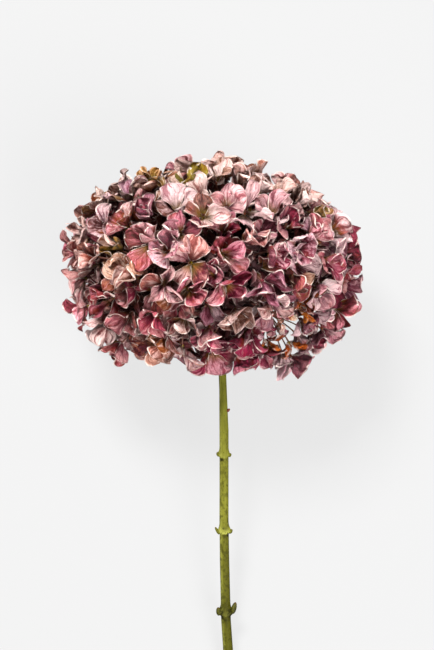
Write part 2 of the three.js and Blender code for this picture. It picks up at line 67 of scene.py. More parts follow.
AXIS_X = np.array([1.0, 0.0, 0.0])
AXIS_A = np.array([0.0, math.cos(TILT), math.sin(TILT)])
AXIS_F = np.array([0.0, -math.sin(TILT), math.cos(TILT)])
HEAD_AXES = np.array([AXIS_X, AXIS_A, AXIS_F])

# Florets as in the CAD model.
FLORET_COUNT = 115
FLORET_SEED = 911
SEED_STEP = 37
FILL_SEED = 4021
FILL_TRIES = 160
FILL_CUP = (12, 48)
FILL_SIZE = (0.95, 1.1)
OUTERMOST_DEPTH = 0.03
BARE_SPOT = {"px": 279, "py": 329, "radius": 17}
STEM_CLEARANCE = 13
LEAN = math.radians(22)
SLOPE_LIMITS = (-6, 44)
SEPALS = 4
SLOPE_RANGE = (-12, 14)
CURL_RANGE = (-42, 22)
FOLD_RANGE = (-0.35, 0.6)
LENGTH_RANGE = (0.9, 1.05)
RAY_FORK = 0.4
TWIG_FORK = 0.67
FLORETS_PER_TWIG = 4.6
RAY_SAG = 2.5

# Florets seen in the photo: pixel x and y, cup in degrees, size, and the colours of their faces.
SEEN_FLORETS = [
    (105, 207, 48, 1.05, "tan", "olive"), (129, 199, 30, 1.0, "olive", "lilac"),
    (150, 188, 44, 1.0, "lime", "tan"), (172, 190, 20, 0.95, "taupe", "lime"),
    (193, 184, 34, 1.1, "lime", "olive"), (216, 180, 25, 0.95, "cream", "tan"),
    (239, 178, 45, 1.0, "cream", "taupe"), (263, 187, 25, 1.0, "taupe", "cream"),
    (284, 191, 42, 0.95, "cream", "tan"), (305, 200, 50, 1.0, "taupe", "cream"),
    (320, 219, 36, 0.95, "lime", "taupe"), (338, 229, 30, 1.0, "coral", "pink"),
    (87, 233, 26, 0.95, "cream", "tan"), (108, 231, 46, 1.0, "tan", "pink"),
    (127, 226, 30, 1.0, "tan", "mauve"), (150, 220, 44, 1.0, "lilac", "maroon"),
    (177, 210, 34, 1.0, "taupe", "pink"), (182, 236, 26, 1.0, "rose", "maroon"),
    (204, 219, 22, 1.0, "cream", "brown"), (227, 208, 30, 1.0, "cream", "rose"),
    (246, 209, 10, 1.1, "pink", "rose"), (275, 212, 22, 1.0, "pink", "rose"),
    (291, 224, 30, 1.0, "pink", "maroon"), (312, 238, 46, 1.0, "taupe", "mauve"),
    (348, 250, 40, 1.0, "lilac", "maroon"), (74, 252, 26, 0.95, "mauve", "coral"),
    (96, 259, 34, 1.0, "coral", "tan"), (121, 253, 28, 0.95, "olive", "tan"),
    (149, 245, 18, 1.05, "taupe", "mauve"), (169, 254, 24, 1.0, "pink", "mauve"),
    (191, 266, 16, 1.05, "mauve", "taupe"), (226, 257, 42, 1.05, "brown", "mauve"),
    (249, 240, 34, 1.0, "pink", "coral"), (270, 256, 26, 1.05, "mauve", "rose"),
    (297, 250, 42, 1.0, "maroon", "pink"), (325, 262, 30, 1.0, "magenta", "maroon"),
    (82, 282, 30, 1.0, "taupe", "coral"), (138, 279, 46, 1.15, "taupe", "olive"),
    (165, 287, 36, 1.0, "pink", "taupe"), (190, 293, 18, 1.0, "maroon", "mauve"),
    (226, 288, 20, 1.0, "magenta", "mauve"), (262, 286, 50, 1.15, "maroon", "lilac"),
    (290, 281, 46, 1.0, "maroon", "olive"), (316, 292, 16, 1.0, "pink", "rose"),
    (343, 284, 6, 1.1, "coral", "maroon"), (84, 310, 38, 1.0, "coral", "mauve"),
    (106, 328, 30, 1.0, "coral", "cream"), (112, 302, 20, 0.95, "coral", "maroon"),
    (131, 317, 26, 1.0, "maroon", "coral"), (157, 318, 30, 1.05, "mauve", "coral"),
    (184, 322, 34, 1.0, "maroon", "cream"), (209, 331, 36, 1.0, "mauve", "maroon"),
    (235, 314, 44, 1.05, "tan", "cream"), (247, 336, 24, 1.0, "magenta", "maroon"),
    (270, 307, 30, 0.9, "pink", "taupe"), (311, 317, 28, 1.0, "pink", "magenta"),
    (338, 312, 26, 1.0, "coral", "mauve"), (118, 347, 12, 0.95, "coral", "maroon"),
    (157, 346, 8, 1.0, "maroon", "tan"), (181, 351, 8, 1.05, "pink", "rust"),
    (212, 356, 14, 1.05, "mauve", "maroon"), (240, 358, 30, 0.9, "magenta", "mauve"),
    (266, 351, 26, 1.0, "mauve", "magenta"), (293, 361, 10, 1.05, "pink", "mauve"),
    (324, 334, 20, 1.05, "pink", "rose"),
]

# Colours of the dried florets, in sRGB from 0 to 255.
PALETTE = {
    "mauve": (198, 110, 128),
    "rose": (214, 144, 156),
    "pink": (240, 200, 208),
    "cream": (240, 212, 196),
    "coral": (164, 98, 84),
    "maroon": (130, 58, 68),
    "tan": (218, 160, 124),
    "olive": (150, 128, 58),
    "lime": (190, 174, 86),
    "taupe": (206, 150, 136),
    "magenta": (178, 80, 104),
    "rust": (226, 112, 30),
    "brown": (138, 74, 50),
    "lilac": (202, 152, 168),
    "white": (246, 238, 228),
    "rim": (252, 230, 218),
    "pedicel": (118, 72, 58),
}

# Colours for florets out of the photo's sight, by where they stand on the head, in millimetres.
TOP_FROM = 30
LOW_UNDER = -30
LEFT_UNDER = -20
TOP_TINTS = ("cream", "taupe", "tan", "brown", "rose")
LEFT_TINTS = ("coral", "tan", "brown", "mauve", "taupe")
RIGHT_TINTS = ("rose", "mauve", "pink", "maroon", "lilac")
LOW_TINTS = ("magenta", "maroon", "mauve", "rose", "coral")

# Sprays as in the CAD model: name, height of the ray's root in millimetres, and the spray's direction
# as degrees from the top and round from the right towards the viewer.
SPRAYS = [
    ("spray_top", -10, 0, 0),
    ("spray_upper_1", -19, 50, 45),
    ("spray_upper_2", -13, 50, 135),
    ("spray_upper_3", -19, 50, 225),
    ("spray_upper_4", -13, 50, 315),
    ("spray_lower_1", -36, 104, 0),
    ("spray_lower_2", -29, 104, 60),
    ("spray_lower_3", -36, 104, 120),
    ("spray_lower_4", -29, 104, 180),
    ("spray_lower_5", -36, 104, 240),
    ("spray_lower_6", -29, 104, 300),
]

# The stem's middle line as photo pixels (x, y, width), and its paired nodes: pixel y, how far each
# stands out on the left and on the right, how much of that its front has, how tall it is, how dark its
# painted shade is, and the side of the painted shadow below it, from -1 on the left to 1 on the right.
STEM_LINE = np.array([
    (218.5, 276, 6.6), (219.5, 320, 7), (222, 362, 7.4), (223, 390, 7.6), (224, 430, 9),
    (224, 520, 9), (224.5, 560, 9.4), (226, 620, 9.6), (228, 650, 9.9),
    (STEM_END_PX[0], HEAD_PX[1] + STEM_LENGTH / MM_PER_PX, STEM_END_PX[1]),
])
STEM_NODES = [
    (454, 1.25, 0.8, 0.12, 3.2, 0.1, -1), (530, 1.0, 1.3, 0.35, 3.6, 0.0, 1),
    (612, 2.3, 1.7, 0.1, 4.2, 1.1, -0.3),
]

# Buds on the stem: pixel x and y, how far towards the viewer, radius, length, lean to the right and kind.
BUDS = (
    (227.0, 409, 0.9, 0.9, 2.6, 1.2, "scar"), (219.6, 453, 0.6, 1.3, 3.0, -0.8, "green"),
    (228.6, 454, 0.0, 1.1, 2.6, 0.9, "green"), (218.9, 529, 0.4, 0.9, 5.2, -0.6, "green"),
    (229.2, 530, 0.3, 1.2, 3.2, 0.9, "green"), (219.4, 610, 0.8, 1.6, 5.2, -0.2, "dark"),
    (232.6, 606, 0.4, 1.6, 7.4, 0.3, "dark"),
)
BUD_TINTS = {"scar": (1, 0, 0), "green": (0, 0, 0), "dark": (0, 1, 0)}

# Where the stem ends inside the head, in millimetres, and the photo pixel where it comes out.
STEM_TOP = -8.5
STEM_EXIT_PX = (222, 362)


def from_photo(px, py):
    """How far right of the head's middle and up from it a pixel of the photo is, in millimetres."""
    return (px - HEAD_PX[0]) * MM_PER_PX, (HEAD_PX[1] - py) * MM_PER_PX


STEM_EXIT = np.array([*from_photo(*STEM_EXIT_PX), 0.0])
BARE_PLACE = from_photo(BARE_SPOT["px"], BARE_SPOT["py"])


def head_middle():
    """The head's middle in the row frame, in millimetres, from the stem's lowest corner on the table."""
    corner = min(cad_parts["stem"].data.vertices, key=lambda vertex: vertex.co.z).co
    across, _ = from_photo(STEM_END_PX[0], 0)
    from_middle = across * AXIS_X - STEM_LENGTH * AXIS_A - STEM_END_RADIUS * AXIS_F
    return np.array(corner) / MM - from_middle


HEAD_MIDDLE = head_middle()


def laid_down(point):
    """A point of the head's frame, (x, a, f), in the row frame."""
    return HEAD_MIDDLE + np.asarray(point) @ HEAD_AXES


def unit(vector):
    """The vector at length 1."""
    return vector / np.linalg.norm(vector)


def square_to(direction):
    """A direction square to the given one, by the CAD model's rule."""
    helper = AXIS_X if abs(direction[0]) < 0.7 else AXIS_A
    return unit(np.cross(helper, direction))


def turned(vector, axis, angle):
    """The vector turned about an axis of length 1."""
    across = np.cross(axis, vector)
    along = axis * (vector @ axis)
    return along + (vector - along) * math.cos(angle) + across * math.sin(angle)


RANDOM_FACTOR = 16807
RANDOM_MODULUS = 2147483647


def random_run(seed):
    """The CAD model's repeatable run of numbers from 0 to 1."""
    state = seed
    while True:
        state = state * RANDOM_FACTOR % RANDOM_MODULUS
        yield state / RANDOM_MODULUS


def floret_run(spot):
    """A floret's own run. Its first number is much the same for every seed, so it is left out."""
    run = random_run(FLORET_SEED + SEED_STEP * spot["number"])
    next(run)
    return run


def between(limits, share):
    """The number at a share of the way between two limits."""
    return limits[0] + (limits[1] - limits[0]) * share


def bell(steps):
    """A bell curve's height so many steps from its middle, where it is 1."""
    return np.exp(-(steps ** 2))


def on_dome(px, py):
    """Where the head's dome is under a pixel of the photo, as (x, a, f)."""
    x, a = from_photo(px, py)
    share = (x / DOME[0]) ** 2 + (a / DOME[1]) ** 2
    return np.array([x, a, DOME[2] * math.sqrt(max(1 - share, OUTERMOST_DEPTH))])


def is_covered(spot, room=0):
    """Whether florets grow here: not round the stem and not on the bare spot or in the room round it."""
    if math.hypot(spot[0] - STEM_EXIT[0], spot[2]) < STEM_CLEARANCE and spot[1] < 0:
        return False
    from_bare = math.hypot(spot[0] - BARE_PLACE[0], spot[1] - BARE_PLACE[1])
    return from_bare > BARE_SPOT["radius"] + room


def zone_tints(spot, draw):
    """Two colours for a floret out of the photo's sight."""
    if spot[1] > TOP_FROM:
        tints = TOP_TINTS
    elif spot[1] < LOW_UNDER and spot[0] > 0:
        tints = LOW_TINTS
    elif spot[0] < LEFT_UNDER:
        tints = LEFT_TINTS
    else:
        tints = RIGHT_TINTS
    return tuple(tints[pick] for pick in draw.choice(len(tints), 2, replace=False))


def floret_spots():
    """The CAD model's florets: those of the photo, then the widest gaps among seeded tries."""
    spots = [
        {"at": on_dome(px, py), "cup": cup, "size": size, "tints": (face, accent)}
        for px, py, cup, size, face, accent in SEEN_FLORETS
    ]
    run = random_run(FILL_SEED)
    colours = np.random.RandomState(FILL_SEED)
    while len(spots) < FLORET_COUNT:
        best, widest = None, 0
        taken = np.array([spot["at"] for spot in spots] + [STEM_EXIT])
        for _ in range(FILL_TRIES):
            height = 2 * next(run) - 1
            turn = math.tau * next(run)
            level = math.sqrt(1 - height * height)
            spot = DOME * (level * math.cos(turn), height, level * math.sin(turn))
            nearest = np.linalg.norm(taken - spot, axis=1).min()
            if nearest > widest and is_covered(spot):
                best, widest = spot, nearest
        spots.append({
            "at": best,
            "cup": between(FILL_CUP, next(run)),
            "size": between(FILL_SIZE, next(run)),
            "tints": zone_tints(best, colours),
        })
    return spots


# Finer layers of florets under and between the CAD model's: how many, how far out as a share of the
# dome, their sizes and cups, and how much of their colour painted shade leaves that deep in the head. A
# layer is deep, with coarser and browner sepals, where painted shade leaves no more of it than DEEP says.
DEEP = 0.5
LAYERS = (
    {"count": 90, "reach": 0.92, "size": (0.8, 1.0), "cup": (10, 45), "depth": 0.8},
    {"count": 150, "reach": 0.8, "size": (0.8, 1.0), "cup": (0, 35), "depth": 0.48},
    {"count": 80, "reach": 0.55, "size": (1.1, 1.3), "cup": (-5, 15), "depth": 0.5},
)
LAYER_SEED = 77
LAYER_TRIES = 60
LAYER_ROOM = 7


def layer_spots(spots):
    """The florets of the finer layers, each in the widest gap of its own layer among seeded tries."""
    draw = np.random.RandomState(LAYER_SEED)
    added = []
    for layer in LAYERS:
        near = [spot["at"] / DOME for spot in spots] if layer["depth"] > DEEP else []
        for _ in range(layer["count"]):
            tries = draw.normal(size=(LAYER_TRIES, 3))
            tries /= np.linalg.norm(tries, axis=1)[:, None]
            if near:
                gaps = np.linalg.norm(tries[:, None] - np.array(near)[None], axis=2).min(axis=1)
            else:
                gaps = np.ones(len(tries))
            free = [is_covered(way * DOME * layer["reach"], LAYER_ROOM) for way in tries]
            best = tries[int(np.argmax(gaps * free))]
            near.append(best)
            tints = zone_tints(best * DOME, draw)
            added.append({
                "at": best * DOME,
                "reach": layer["reach"],
                "cup": draw.uniform(*layer["cup"]),
                "size": draw.uniform(*layer["size"]),
                "depth": layer["depth"],
                "tints": tints,
            })
    return added


# Florets on and round the bare spot: pixel x and y, how far out, size, colours and kind.
SPOT_FLORETS = (
    (302, 300, 1.02, 0.85, "rust", "brown", "skeleton"),
    (301, 311, 1.01, 0.85, "rust", "tan", "skeleton"),
    (284, 324, 0.97, 0.6, "rust", "cream", "skeleton"),
    (270, 345, 1.0, 0.8, "rust", "brown", "skeleton"),
    (291, 348, 1.0, 0.8, "rust", "coral", "skeleton"),
    (259, 322, 0.98, 0.6, "rust", "magenta", "skeleton"),
    (281, 336, 0.95, 0.45, "magenta", "maroon", "papery"),
    (262, 309, 0.97, 0.6, "white", "pink", "papery"),
    (282, 309, 0.97, 0.6, "lilac", "magenta", "papery"),
    (306, 325, 0.97, 0.8, "magenta", "pink", "papery"),
    (303, 342, 0.95, 0.8, "magenta", "pink", "papery"),
    (318, 343, 0.95, 0.8, "rose", "maroon", "papery"),
    (285, 360, 0.97, 0.75, "lilac", "pink", "papery"),
    (249, 331, 0.99, 0.75, "magenta", "pink", "papery"),
)
SPOT_CUP = 24


def bare_spot_florets():
    """The florets on and round the bare spot, some of them shrunk to narrow crumpled sepals."""
    return [
        {
            "at": on_dome(px, py), "reach": reach, "cup": SPOT_CUP, "size": size,
            "tints": (face, accent), "style": style,
        }
        for px, py, reach, size, face, accent, style in SPOT_FLORETS
    ]


# Where the head's outline is drawn in a little: turn from the right in degrees, spread and share.
SHOULDERS = ((35, 20, 0.1), (66, 12, 0.08), (118, 14, 0.06))


def drawn_in(at):
    """How far out a place on the head stays as a share, less than 1 at the shoulders."""
    turn = math.degrees(math.atan2(at[1], at[0]))
    return 1 - sum(share * bell((turn - middle) / spread) for middle, spread, share in SHOULDERS)


def all_spots():
    """Every floret, with its number, its place, its direction and its spray."""
    spots = floret_spots()
    count = len(spots)
    spots += layer_spots(spots) + bare_spot_florets()
    for number, spot in enumerate(spots, 1):
        spot["number"] = number
        spot["framed"] = number <= count
        spot["centre"] = laid_down(spot["at"] * spot.get("reach", 1) * drawn_in(spot["at"]))
        spot["direction"] = unit(spot["centre"] - HEAD_MIDDLE)
        spot["spray"] = owner_of(spot["at"])
    return spots


def spray_way(polar, turn):
    """The direction of a spray in the head's frame."""
    out = math.sin(math.radians(polar))
    turn = math.radians(turn)
    return np.array([out * math.cos(turn), math.cos(math.radians(polar)), out * math.sin(turn)])


def owner_of(spot):
    """The index of the spray that a place on the head belongs to."""
    way = unit(spot / DOME)
    return int(np.argmax([way @ spray_way(polar, turn) for _, _, polar, turn in SPRAYS]))


# How far above the table a floret's middle, its calyx and everything thin stay.
LOWEST_MIDDLE = 0.2
LOWEST_CALYX = 0.5
LOWEST = 0.3


def pressed(points, lowest=LOWEST):
    """Points moved towards the head's middle until none is too low over the table."""
    points = np.array(points, float)
    low = points[..., 2] < lowest
    drop = HEAD_MIDDLE[2] - points[..., 2]
    share = np.where(low, (HEAD_MIDDLE[2] - lowest) / np.where(low, drop, 1), 1)
    return HEAD_MIDDLE + (points - HEAD_MIDDLE) * share[..., None]


def floret_frame(spot, run):
    """The floret's centre, the way it faces and two directions across it, by the CAD model's rule."""
    facing = unit((spot["at"] / DOME ** 2) @ HEAD_AXES)
    east = square_to(facing)
    hinge = turned(east, facing, math.tau * next(run))
    lean = LEAN * next(run)
    facing = turned(facing, hinge, lean)
    east = turned(east, hinge, lean)
    return pressed(spot["centre"], LOWEST_MIDDLE), facing, east, np.cross(facing, east)


# Which of a piece's materials a grid gets, and the detail colour of one with no detail.
MAIN_MATERIAL = 0
STALK_MATERIAL = 1
PLAIN_DETAIL = (0.5, 0.5, 0.5)


class Pile:
    """Vertices, faces, colours and coordinates of one piece, put together part by part."""

    def __init__(self):
        self.points = []
        self.quads = []
        self.uvs = []
        self.tints = []
        self.accents = []
        self.details = []
        self.material_numbers = []
        self.count = 0

    def add_grid(self, points, uv, tint, accent, detail, material, closed=False):
        """Adds a grid of points, rows along and columns across, joined round if closed."""
        rows, columns = points.shape[:2]
        index = np.arange(rows * columns).reshape(rows, columns) + self.count
        if closed:
            index = np.concatenate([index, index[:, :1]], axis=1)
        quads = np.stack([index[:-1, :-1], index[:-1, 1:], index[1:, 1:], index[1:, :-1]], axis=-1)
        self.quads.append(quads.reshape(-1, 4))
        self.material_numbers.append(np.full(len(self.quads[-1]), material))
        self.points.append(points.reshape(-1, 3))
        self.uvs.append(np.broadcast_to(uv, (rows, columns, 2)).reshape(-1, 2))
        for store, value in ((self.tints, tint), (self.accents, accent), (self.details, detail)):
            store.append(np.broadcast_to(value, (rows, columns, 3)).reshape(-1, 3))
        self.count += rows * columns

    def build(self, name, materials):
        """Makes the Blender object."""
        points = np.concatenate(self.points) * MM
        quads = np.concatenate(self.quads)
        mesh = bpy.data.meshes.new(name)
        mesh.vertices.add(len(points))
        mesh.vertices.foreach_set("co", points.ravel())
        mesh.loops.add(quads.size)
        mesh.loops.foreach_set("vertex_index", quads.ravel())
        mesh.polygons.add(len(quads))
        mesh.polygons.foreach_set("loop_start", np.arange(0, quads.size, 4))
        mesh.polygons.foreach_set("loop_total", np.full(len(quads), 4))
        mesh.polygons.foreach_set("material_index", np.concatenate(self.material_numbers))
        mesh.update(calc_edges=True)
        mesh.validate()
        mesh.shade_smooth()
        layer = mesh.uv_layers.new(name="shape")
        layer.data.foreach_set("uv", np.concatenate(self.uvs)[quads.ravel()].ravel())
        for label, store in (("tint", self.tints), ("accent", self.accents), ("detail", self.details)):
            colours = np.ones((len(points), 4))
            colours[:, :3] = np.concatenate(store)
            attribute = mesh.color_attributes.new(name=label, type="FLOAT_COLOR", domain="POINT")
            attribute.data.foreach_set("color", colours.ravel())
        piece = bpy.data.objects.new(name, mesh)
        bpy.context.scene.collection.objects.link(piece)
        for material in materials:
            mesh.materials.append(material)
        return piece


def linear(colour):
    """An sRGB colour from 0 to 255 as linear light."""
    share = np.array(colour) / 255
    return np.where(share <= 0.04045, share / 12.92, ((share + 0.055) / 1.055) ** 2.4)


def smooth(low, high, value):
    """A smooth step from 0 at low to 1 at high."""
    share = np.clip((value - low) / (high - low), 0, 1)
    return share * share * (3 - 2 * share)


# Sepals

# Rows along a sepal and columns across it.
FINE_GRID = (21, 17)
COARSE_GRID = (9, 7)

# How much of a floret's colour is the common one of its place, and how its sepals fade with brightness.
SHARED_TINT = 0.24
DEEP_TINT = 0.5
DUSTY_PINK = (1.14, 0.95, 0.92)
BRIGHTNESS = (0.3, 0.59, 0.11)
FADING = 0.7
FADING_FROM = 0.75
LEAST_FADING = -0.25
UNFADED = ("olive", "lime", "rust")
SEPAL_VALUES = {"papery": (0.24, 0.42, 0.68, 1.08, 1.4), "skeleton": (0.8, 1.15, 1.5)}
VALUE_SPREAD = (0.85, 1.15)

# How much of the accent colour a sepal has, and how often.
ACCENT_SHARES = [0.0, 0.2, 0.5, 1.0]
ACCENT_CHANCES = [0.35, 0.25, 0.2, 0.2]

# How far a floret sinks into the head and how wide the margin mask reaches, in millimetres, and how far
# a sepal turns from its even place, in sepals.
SINK = 4.0
FULL_MARGIN = 10
TURN_SPREAD = 0.12

# Buds: their colours, how dark they are, and their rings as heights and widths in radii.
BUD_COLOURS = ["olive", "maroon", "olive", "brown"]
BUD_SHADE = 0.6
BUD_SIDES = 8
BUD_RINGS = ((-0.5, 0.5), (0.1, 0.95), (0.7, 1.0), (1.25, 0.65), (1.5, 0.08))

# Limits of what differs from sepal to sepal: angles in degrees, folds, twist and ruffle in radians, the
# crumples' heights in millimetres, and the rest as shares, powers or wave numbers.
SEPAL_RANGES = {
    "steeper": (-4, 38), "curl": (-10, 20), "roll": (-45, 35), "folded": (0.5, 1.25),
    "flat": (-0.25, 0.55), "crease": (0.15, 0.8), "length": (0.85, 1.08), "twist": (-0.6, 0.6),
    "widest": (0.58, 0.78), "point": (0.4, 0.85), "bend": (-0.15, 0.15), "ruffle": (0.05, 0.35),
    "waves": (0.8, 2.4), "phases": (0, 1), "pleat": (0.4, 1.6), "pleats": (8, 15), "hem": (-1, 1),
    "crumples": (0.1, 0.4), "crumples across": (2, 8), "crumples along": (3, 14),
}
SEPAL_WIDTH = {"papery": (0.87, 1.13), "skeleton": (0.35, 0.65)}
FOLDED_SHARE = {"papery": 0.45, "skeleton": 0.8}
CRUMPLE = {"papery": 1.05, "skeleton": 2.6}

# How much of the CAD model's curl and fold a sepal keeps, how far out it starts in millimetres, how round
# it widens, and its least width as a share of the widest.
CURL_SHARE = 0.8
FOLD_SHARE = 0.6
CALYX_RADIUS = 0.5
ROUND_RISE = 0.42
LEAST_WIDTH = 0.02

# Where along a sepal its forms set in and where they are full, and the same across it for the hem's edge.
CURL_PLACE = (0.15, 0.9)
ROLL_PLACE = (0.7, 1.0)
RUFFLE_PLACE = (0.1, 0.4)
PLEAT_PLACE = (0, 0.5)
HEM_PLACE = (0.2, 0.5)
HEM_EDGE = (0.82, 1.0)


def sepal_outline(v, look):
    """Half the sepal's width along its length, as a share of the widest: a kite with round corners."""
    widest = look["widest"]
    rise = np.clip(v / widest, 0, 1)
    rise = ROUND_RISE * np.sin(rise * math.pi / 2) + (1 - ROUND_RISE) * rise
    fall = np.cos(np.clip((v - widest) / (1 - widest), 0, 1) * math.pi / 2) ** look["point"]
    return np.maximum(rise * fall, LEAST_WIDTH)


def sepal_spine(floret, angle, look, v):
    """The sepal's middle line, and the directions across it and out of its face, one row for each v."""
    centre, facing, east, north = floret
    slope = look["slope"] + look["curl"] * smooth(*CURL_PLACE, v) + look["roll"] * smooth(*ROLL_PLACE, v)
    middle = (slope[1:] + slope[:-1]) / 2
    step = look["length"] / (len(v) - 1)
    out = CALYX_RADIUS + np.concatenate([[0], np.cumsum(np.cos(middle))]) * step
    up = np.concatenate([[0], np.cumsum(np.sin(middle))]) * step
    radial = east * math.cos(angle) + north * math.sin(angle)
    side = np.cross(facing, radial)
    normal = facing * np.cos(slope)[:, None] - radial * np.sin(slope)[:, None]
    twist = (look["twist"] * v)[:, None]
    sideways = side * np.cos(twist) + normal * np.sin(twist)
    normal = normal * np.cos(twist) - side * np.sin(twist)
    spine = centre + out[:, None] * radial + up[:, None] * facing
    spine = spine + side * (look["bend"] * look["length"] * v ** 2)[:, None]
    return spine, sideways, normal


def sepal_points(floret, angle, look, rows, columns):
    """The grid of one sepal, and how far each of its points is from the margin in millimetres."""
    v = np.linspace(0, 1, rows)
    u = np.linspace(-1, 1, columns)[None, :]
    length = look["length"]
    spine, sideways, normal = sepal_spine(floret, angle, look, v)
    half = (length * look["width"] * sepal_outline(v, look))[:, None]
    v = v[:, None]
    edge = np.abs(u)
    waves, phases = (np.where(u > 0, pair[0], pair[1]) for pair in (look["waves"], look["phases"]))
    fold = np.where(u > 0, look["folds"][0], look["folds"][1]) * edge ** look["crease"]
    ruffle = look["ruffle"] * np.sin(math.tau * (waves * v + phases)) * edge
    fold = fold + ruffle * smooth(*RUFFLE_PLACE, v)
    across = np.sign(u) * edge * half * np.cos(fold)
    lift = edge * half * np.sin(fold)
    pleats = look["pleat"] * np.sin(look["pleats"] * u + look["phases"][0] * 9)
    lift = lift + pleats * smooth(*PLEAT_PLACE, v)
    lift = lift + look["hem"] * smooth(*HEM_EDGE, edge) * smooth(*HEM_PLACE, v)
    for strength, by_side, by_length, phase in look["crumples"]:
        lift = lift + strength * np.sin(by_side * u + by_length * v + phase)
    points = spine[:, None, :] + sideways[:, None, :] * across[..., None]
    points = points + normal[:, None, :] * lift[..., None]
    margin = np.minimum((1 - edge) * half, (1 - v) * length)
    return points, margin


def sepal_look(spot, run, draw, form):
    """The form of one sepal: the CAD model's numbers, and finer ones of its own."""
    low, high = SLOPE_LIMITS
    slope = min(max(spot["cup"] + between(SLOPE_RANGE, next(run)), low), high)
    curl = between(CURL_RANGE, next(run))
    fold = between(FOLD_RANGE, next(run))
    size = spot["size"] * between(LENGTH_RANGE, next(run))
    style = spot.get("style", "papery")

    def some(name, count=None):
        """A number between the limits of that name, or as many as asked for."""
        return draw.uniform(*SEPAL_RANGES[name], count)

    folded = draw.random_sample() < FOLDED_SHARE[style]
    return {
        "folds": some("folded" if folded else "flat", 2) + fold * FOLD_SHARE,
        "slope": math.radians(slope + some("steeper")),
        "curl": math.radians(curl * CURL_SHARE + some("curl")),
        "roll": math.radians(some("roll")),
        "crease": some("crease"),
        "length": form.sepal_length / MM * size * some("length"),
        "twist": some("twist"),
        "width": form.sepal_width * draw.uniform(*SEPAL_WIDTH[style]),
        "widest": some("widest"),
        "point": some("point"),
        "bend": some("bend"),
        "ruffle": some("ruffle"),
        "waves": some("waves", 2),
        "phases": some("phases", 2),
        "pleat": form.pleat_depth / MM * some("pleat"),
        "pleats": some("pleats"),
        "hem": form.hem_height / MM * some("hem"),
        "crumples": [
            (strength * CRUMPLE[style], some("crumples across"), some("crumples along"),
             draw.uniform(0, math.tau))
            for strength in some("crumples", 3)
        ],
    }


def faded(colour, share):
    """A colour drawn towards a dusty pink as bright as itself, or away from it by a share below 0."""
    dusty = float(colour @ BRIGHTNESS) * np.array(DUSTY_PINK)
    return np.clip(colour + (dusty - colour) * share, 0, 1)


def floret_tints(spot, colours, depth, unfaded):
    """The face and accent colours of a floret, with its share of the common colour of its place, darkened
    by painted shade as deep as it lies.
    """
    common = "taupe" if spot["at"][1] > TOP_FROM else "mauve"
    common, shared = (common, SHARED_TINT) if depth > DEEP else ("coral", DEEP_TINT)
    shared = 0 if unfaded else shared
    return [(colours[name] * (1 - shared) + colours[common] * shared) * depth for name in spot["tints"]]


def add_floret(pile, spot, colours, form):
    """One floret: four sepals and the small bud in its middle."""
    run = floret_run(spot)
    draw = np.random.RandomState(FLORET_SEED + spot["number"])
    centre, facing, east, north = floret_frame(spot, run)
    floret = pressed(centre - facing * SINK, LOWEST_CALYX), facing, east, north
    start = math.tau * next(run)
    # Colours of florets deep in the head, and of their buds, are darkened here as painted shade.
    depth = spot.get("depth", 1.0)
    unfaded = spot["tints"][0] in UNFADED and depth > DEEP
    face, accent = floret_tints(spot, colours, depth, unfaded)
    rows, columns = FINE_GRID if depth > DEEP else COARSE_GRID
    v, u = np.meshgrid(np.linspace(0, 1, rows), np.linspace(0, 1, columns), indexing="ij")
    for sepal in range(SEPALS):
        look = sepal_look(spot, run, draw, form)
        angle = start + (sepal + draw.uniform(-TURN_SPREAD, TURN_SPREAD)) * math.tau / SEPALS
        points, margin = sepal_points(floret, angle, look, rows, columns)
        share = draw.choice(ACCENT_SHARES, p=ACCENT_CHANCES)
        value = draw.choice(SEPAL_VALUES[spot.get("style", "papery")]) * draw.uniform(*VALUE_SPREAD)
        fading = 0 if unfaded else max(FADING * (value - FADING_FROM), LEAST_FADING)
        tint = faded((face * (1 - share) + accent * share) * value, fading)
        seed, age = draw.random_sample(2)
        near_margin = np.clip(margin / FULL_MARGIN, 0, 1)
        detail = np.stack([near_margin, np.full_like(margin, seed), np.full_like(margin, age)], -1)
        pile.add_grid(pressed(points), np.stack([u, v], -1), tint, accent, detail, MAIN_MATERIAL)
    bud_tint = colours[draw.choice(BUD_COLOURS)] * depth * BUD_SHADE
    add_bud(pile, floret, form.bud_radius / MM, bud_tint, draw)


def add_bud(pile, floret, radius, tint, draw):
    """A small round bud with a pointed top."""
    centre, facing, east, north = floret
    turns = np.linspace(0, math.tau, BUD_SIDES, endpoint=False)
    ring = np.outer(np.cos(turns), east) + np.outer(np.sin(turns), north)
    rows = [centre + facing * height * radius + ring * width * radius for height, width in BUD_RINGS]
    detail = (0.5, draw.random_sample(), draw.random_sample())
    pile.add_grid(pressed(np.array(rows)), (0.5, 0.5), tint, tint, detail, MAIN_MATERIAL, closed=True)


# Stalks

# Radii along the stalks, in millimetres, and along a pedicel as shares of its own radius.
RAY_RADII = [1.5] * 7 + [1.3]
TWIG_RADII = [1.0, 0.85, 0.8, 0.75, 0.8, 1.0]
PEDICEL_PLACES = (0, 0.5, 0.85, 1)
PEDICEL_RADII = (1.5, 1.0, 1.25, 2.5)
PEDICEL_STEPS = 9

# How far inside its twig's end a pedicel starts, and how far under its floret's place it ends.
PEDICEL_START = 0.6
PEDICEL_END = 0.4


def add_tube(pile, points, radii, tint, sides=6):
    """A round stalk through points."""
    points = np.asarray(points)
    ways = np.gradient(points, axis=0)
    ways = ways / np.linalg.norm(ways, axis=1)[:, None]
    side = square_to(ways[0])
    rows = []
    turns = np.linspace(0, math.tau, sides, endpoint=False)
    for point, way, radius in zip(points, ways, radii):
        side = unit(side - way * (side @ way))
        other = np.cross(way, side)
        rows.append(point + radius * (np.outer(np.cos(turns), side) + np.outer(np.sin(turns), other)))
    along = np.linspace(0, 1, len(points))
    uv = np.stack(np.meshgrid(np.arange(sides) / sides, along), -1)
    pile.add_grid(pressed(np.array(rows)), uv, tint, tint, PLAIN_DETAIL, STALK_MATERIAL, closed=True)


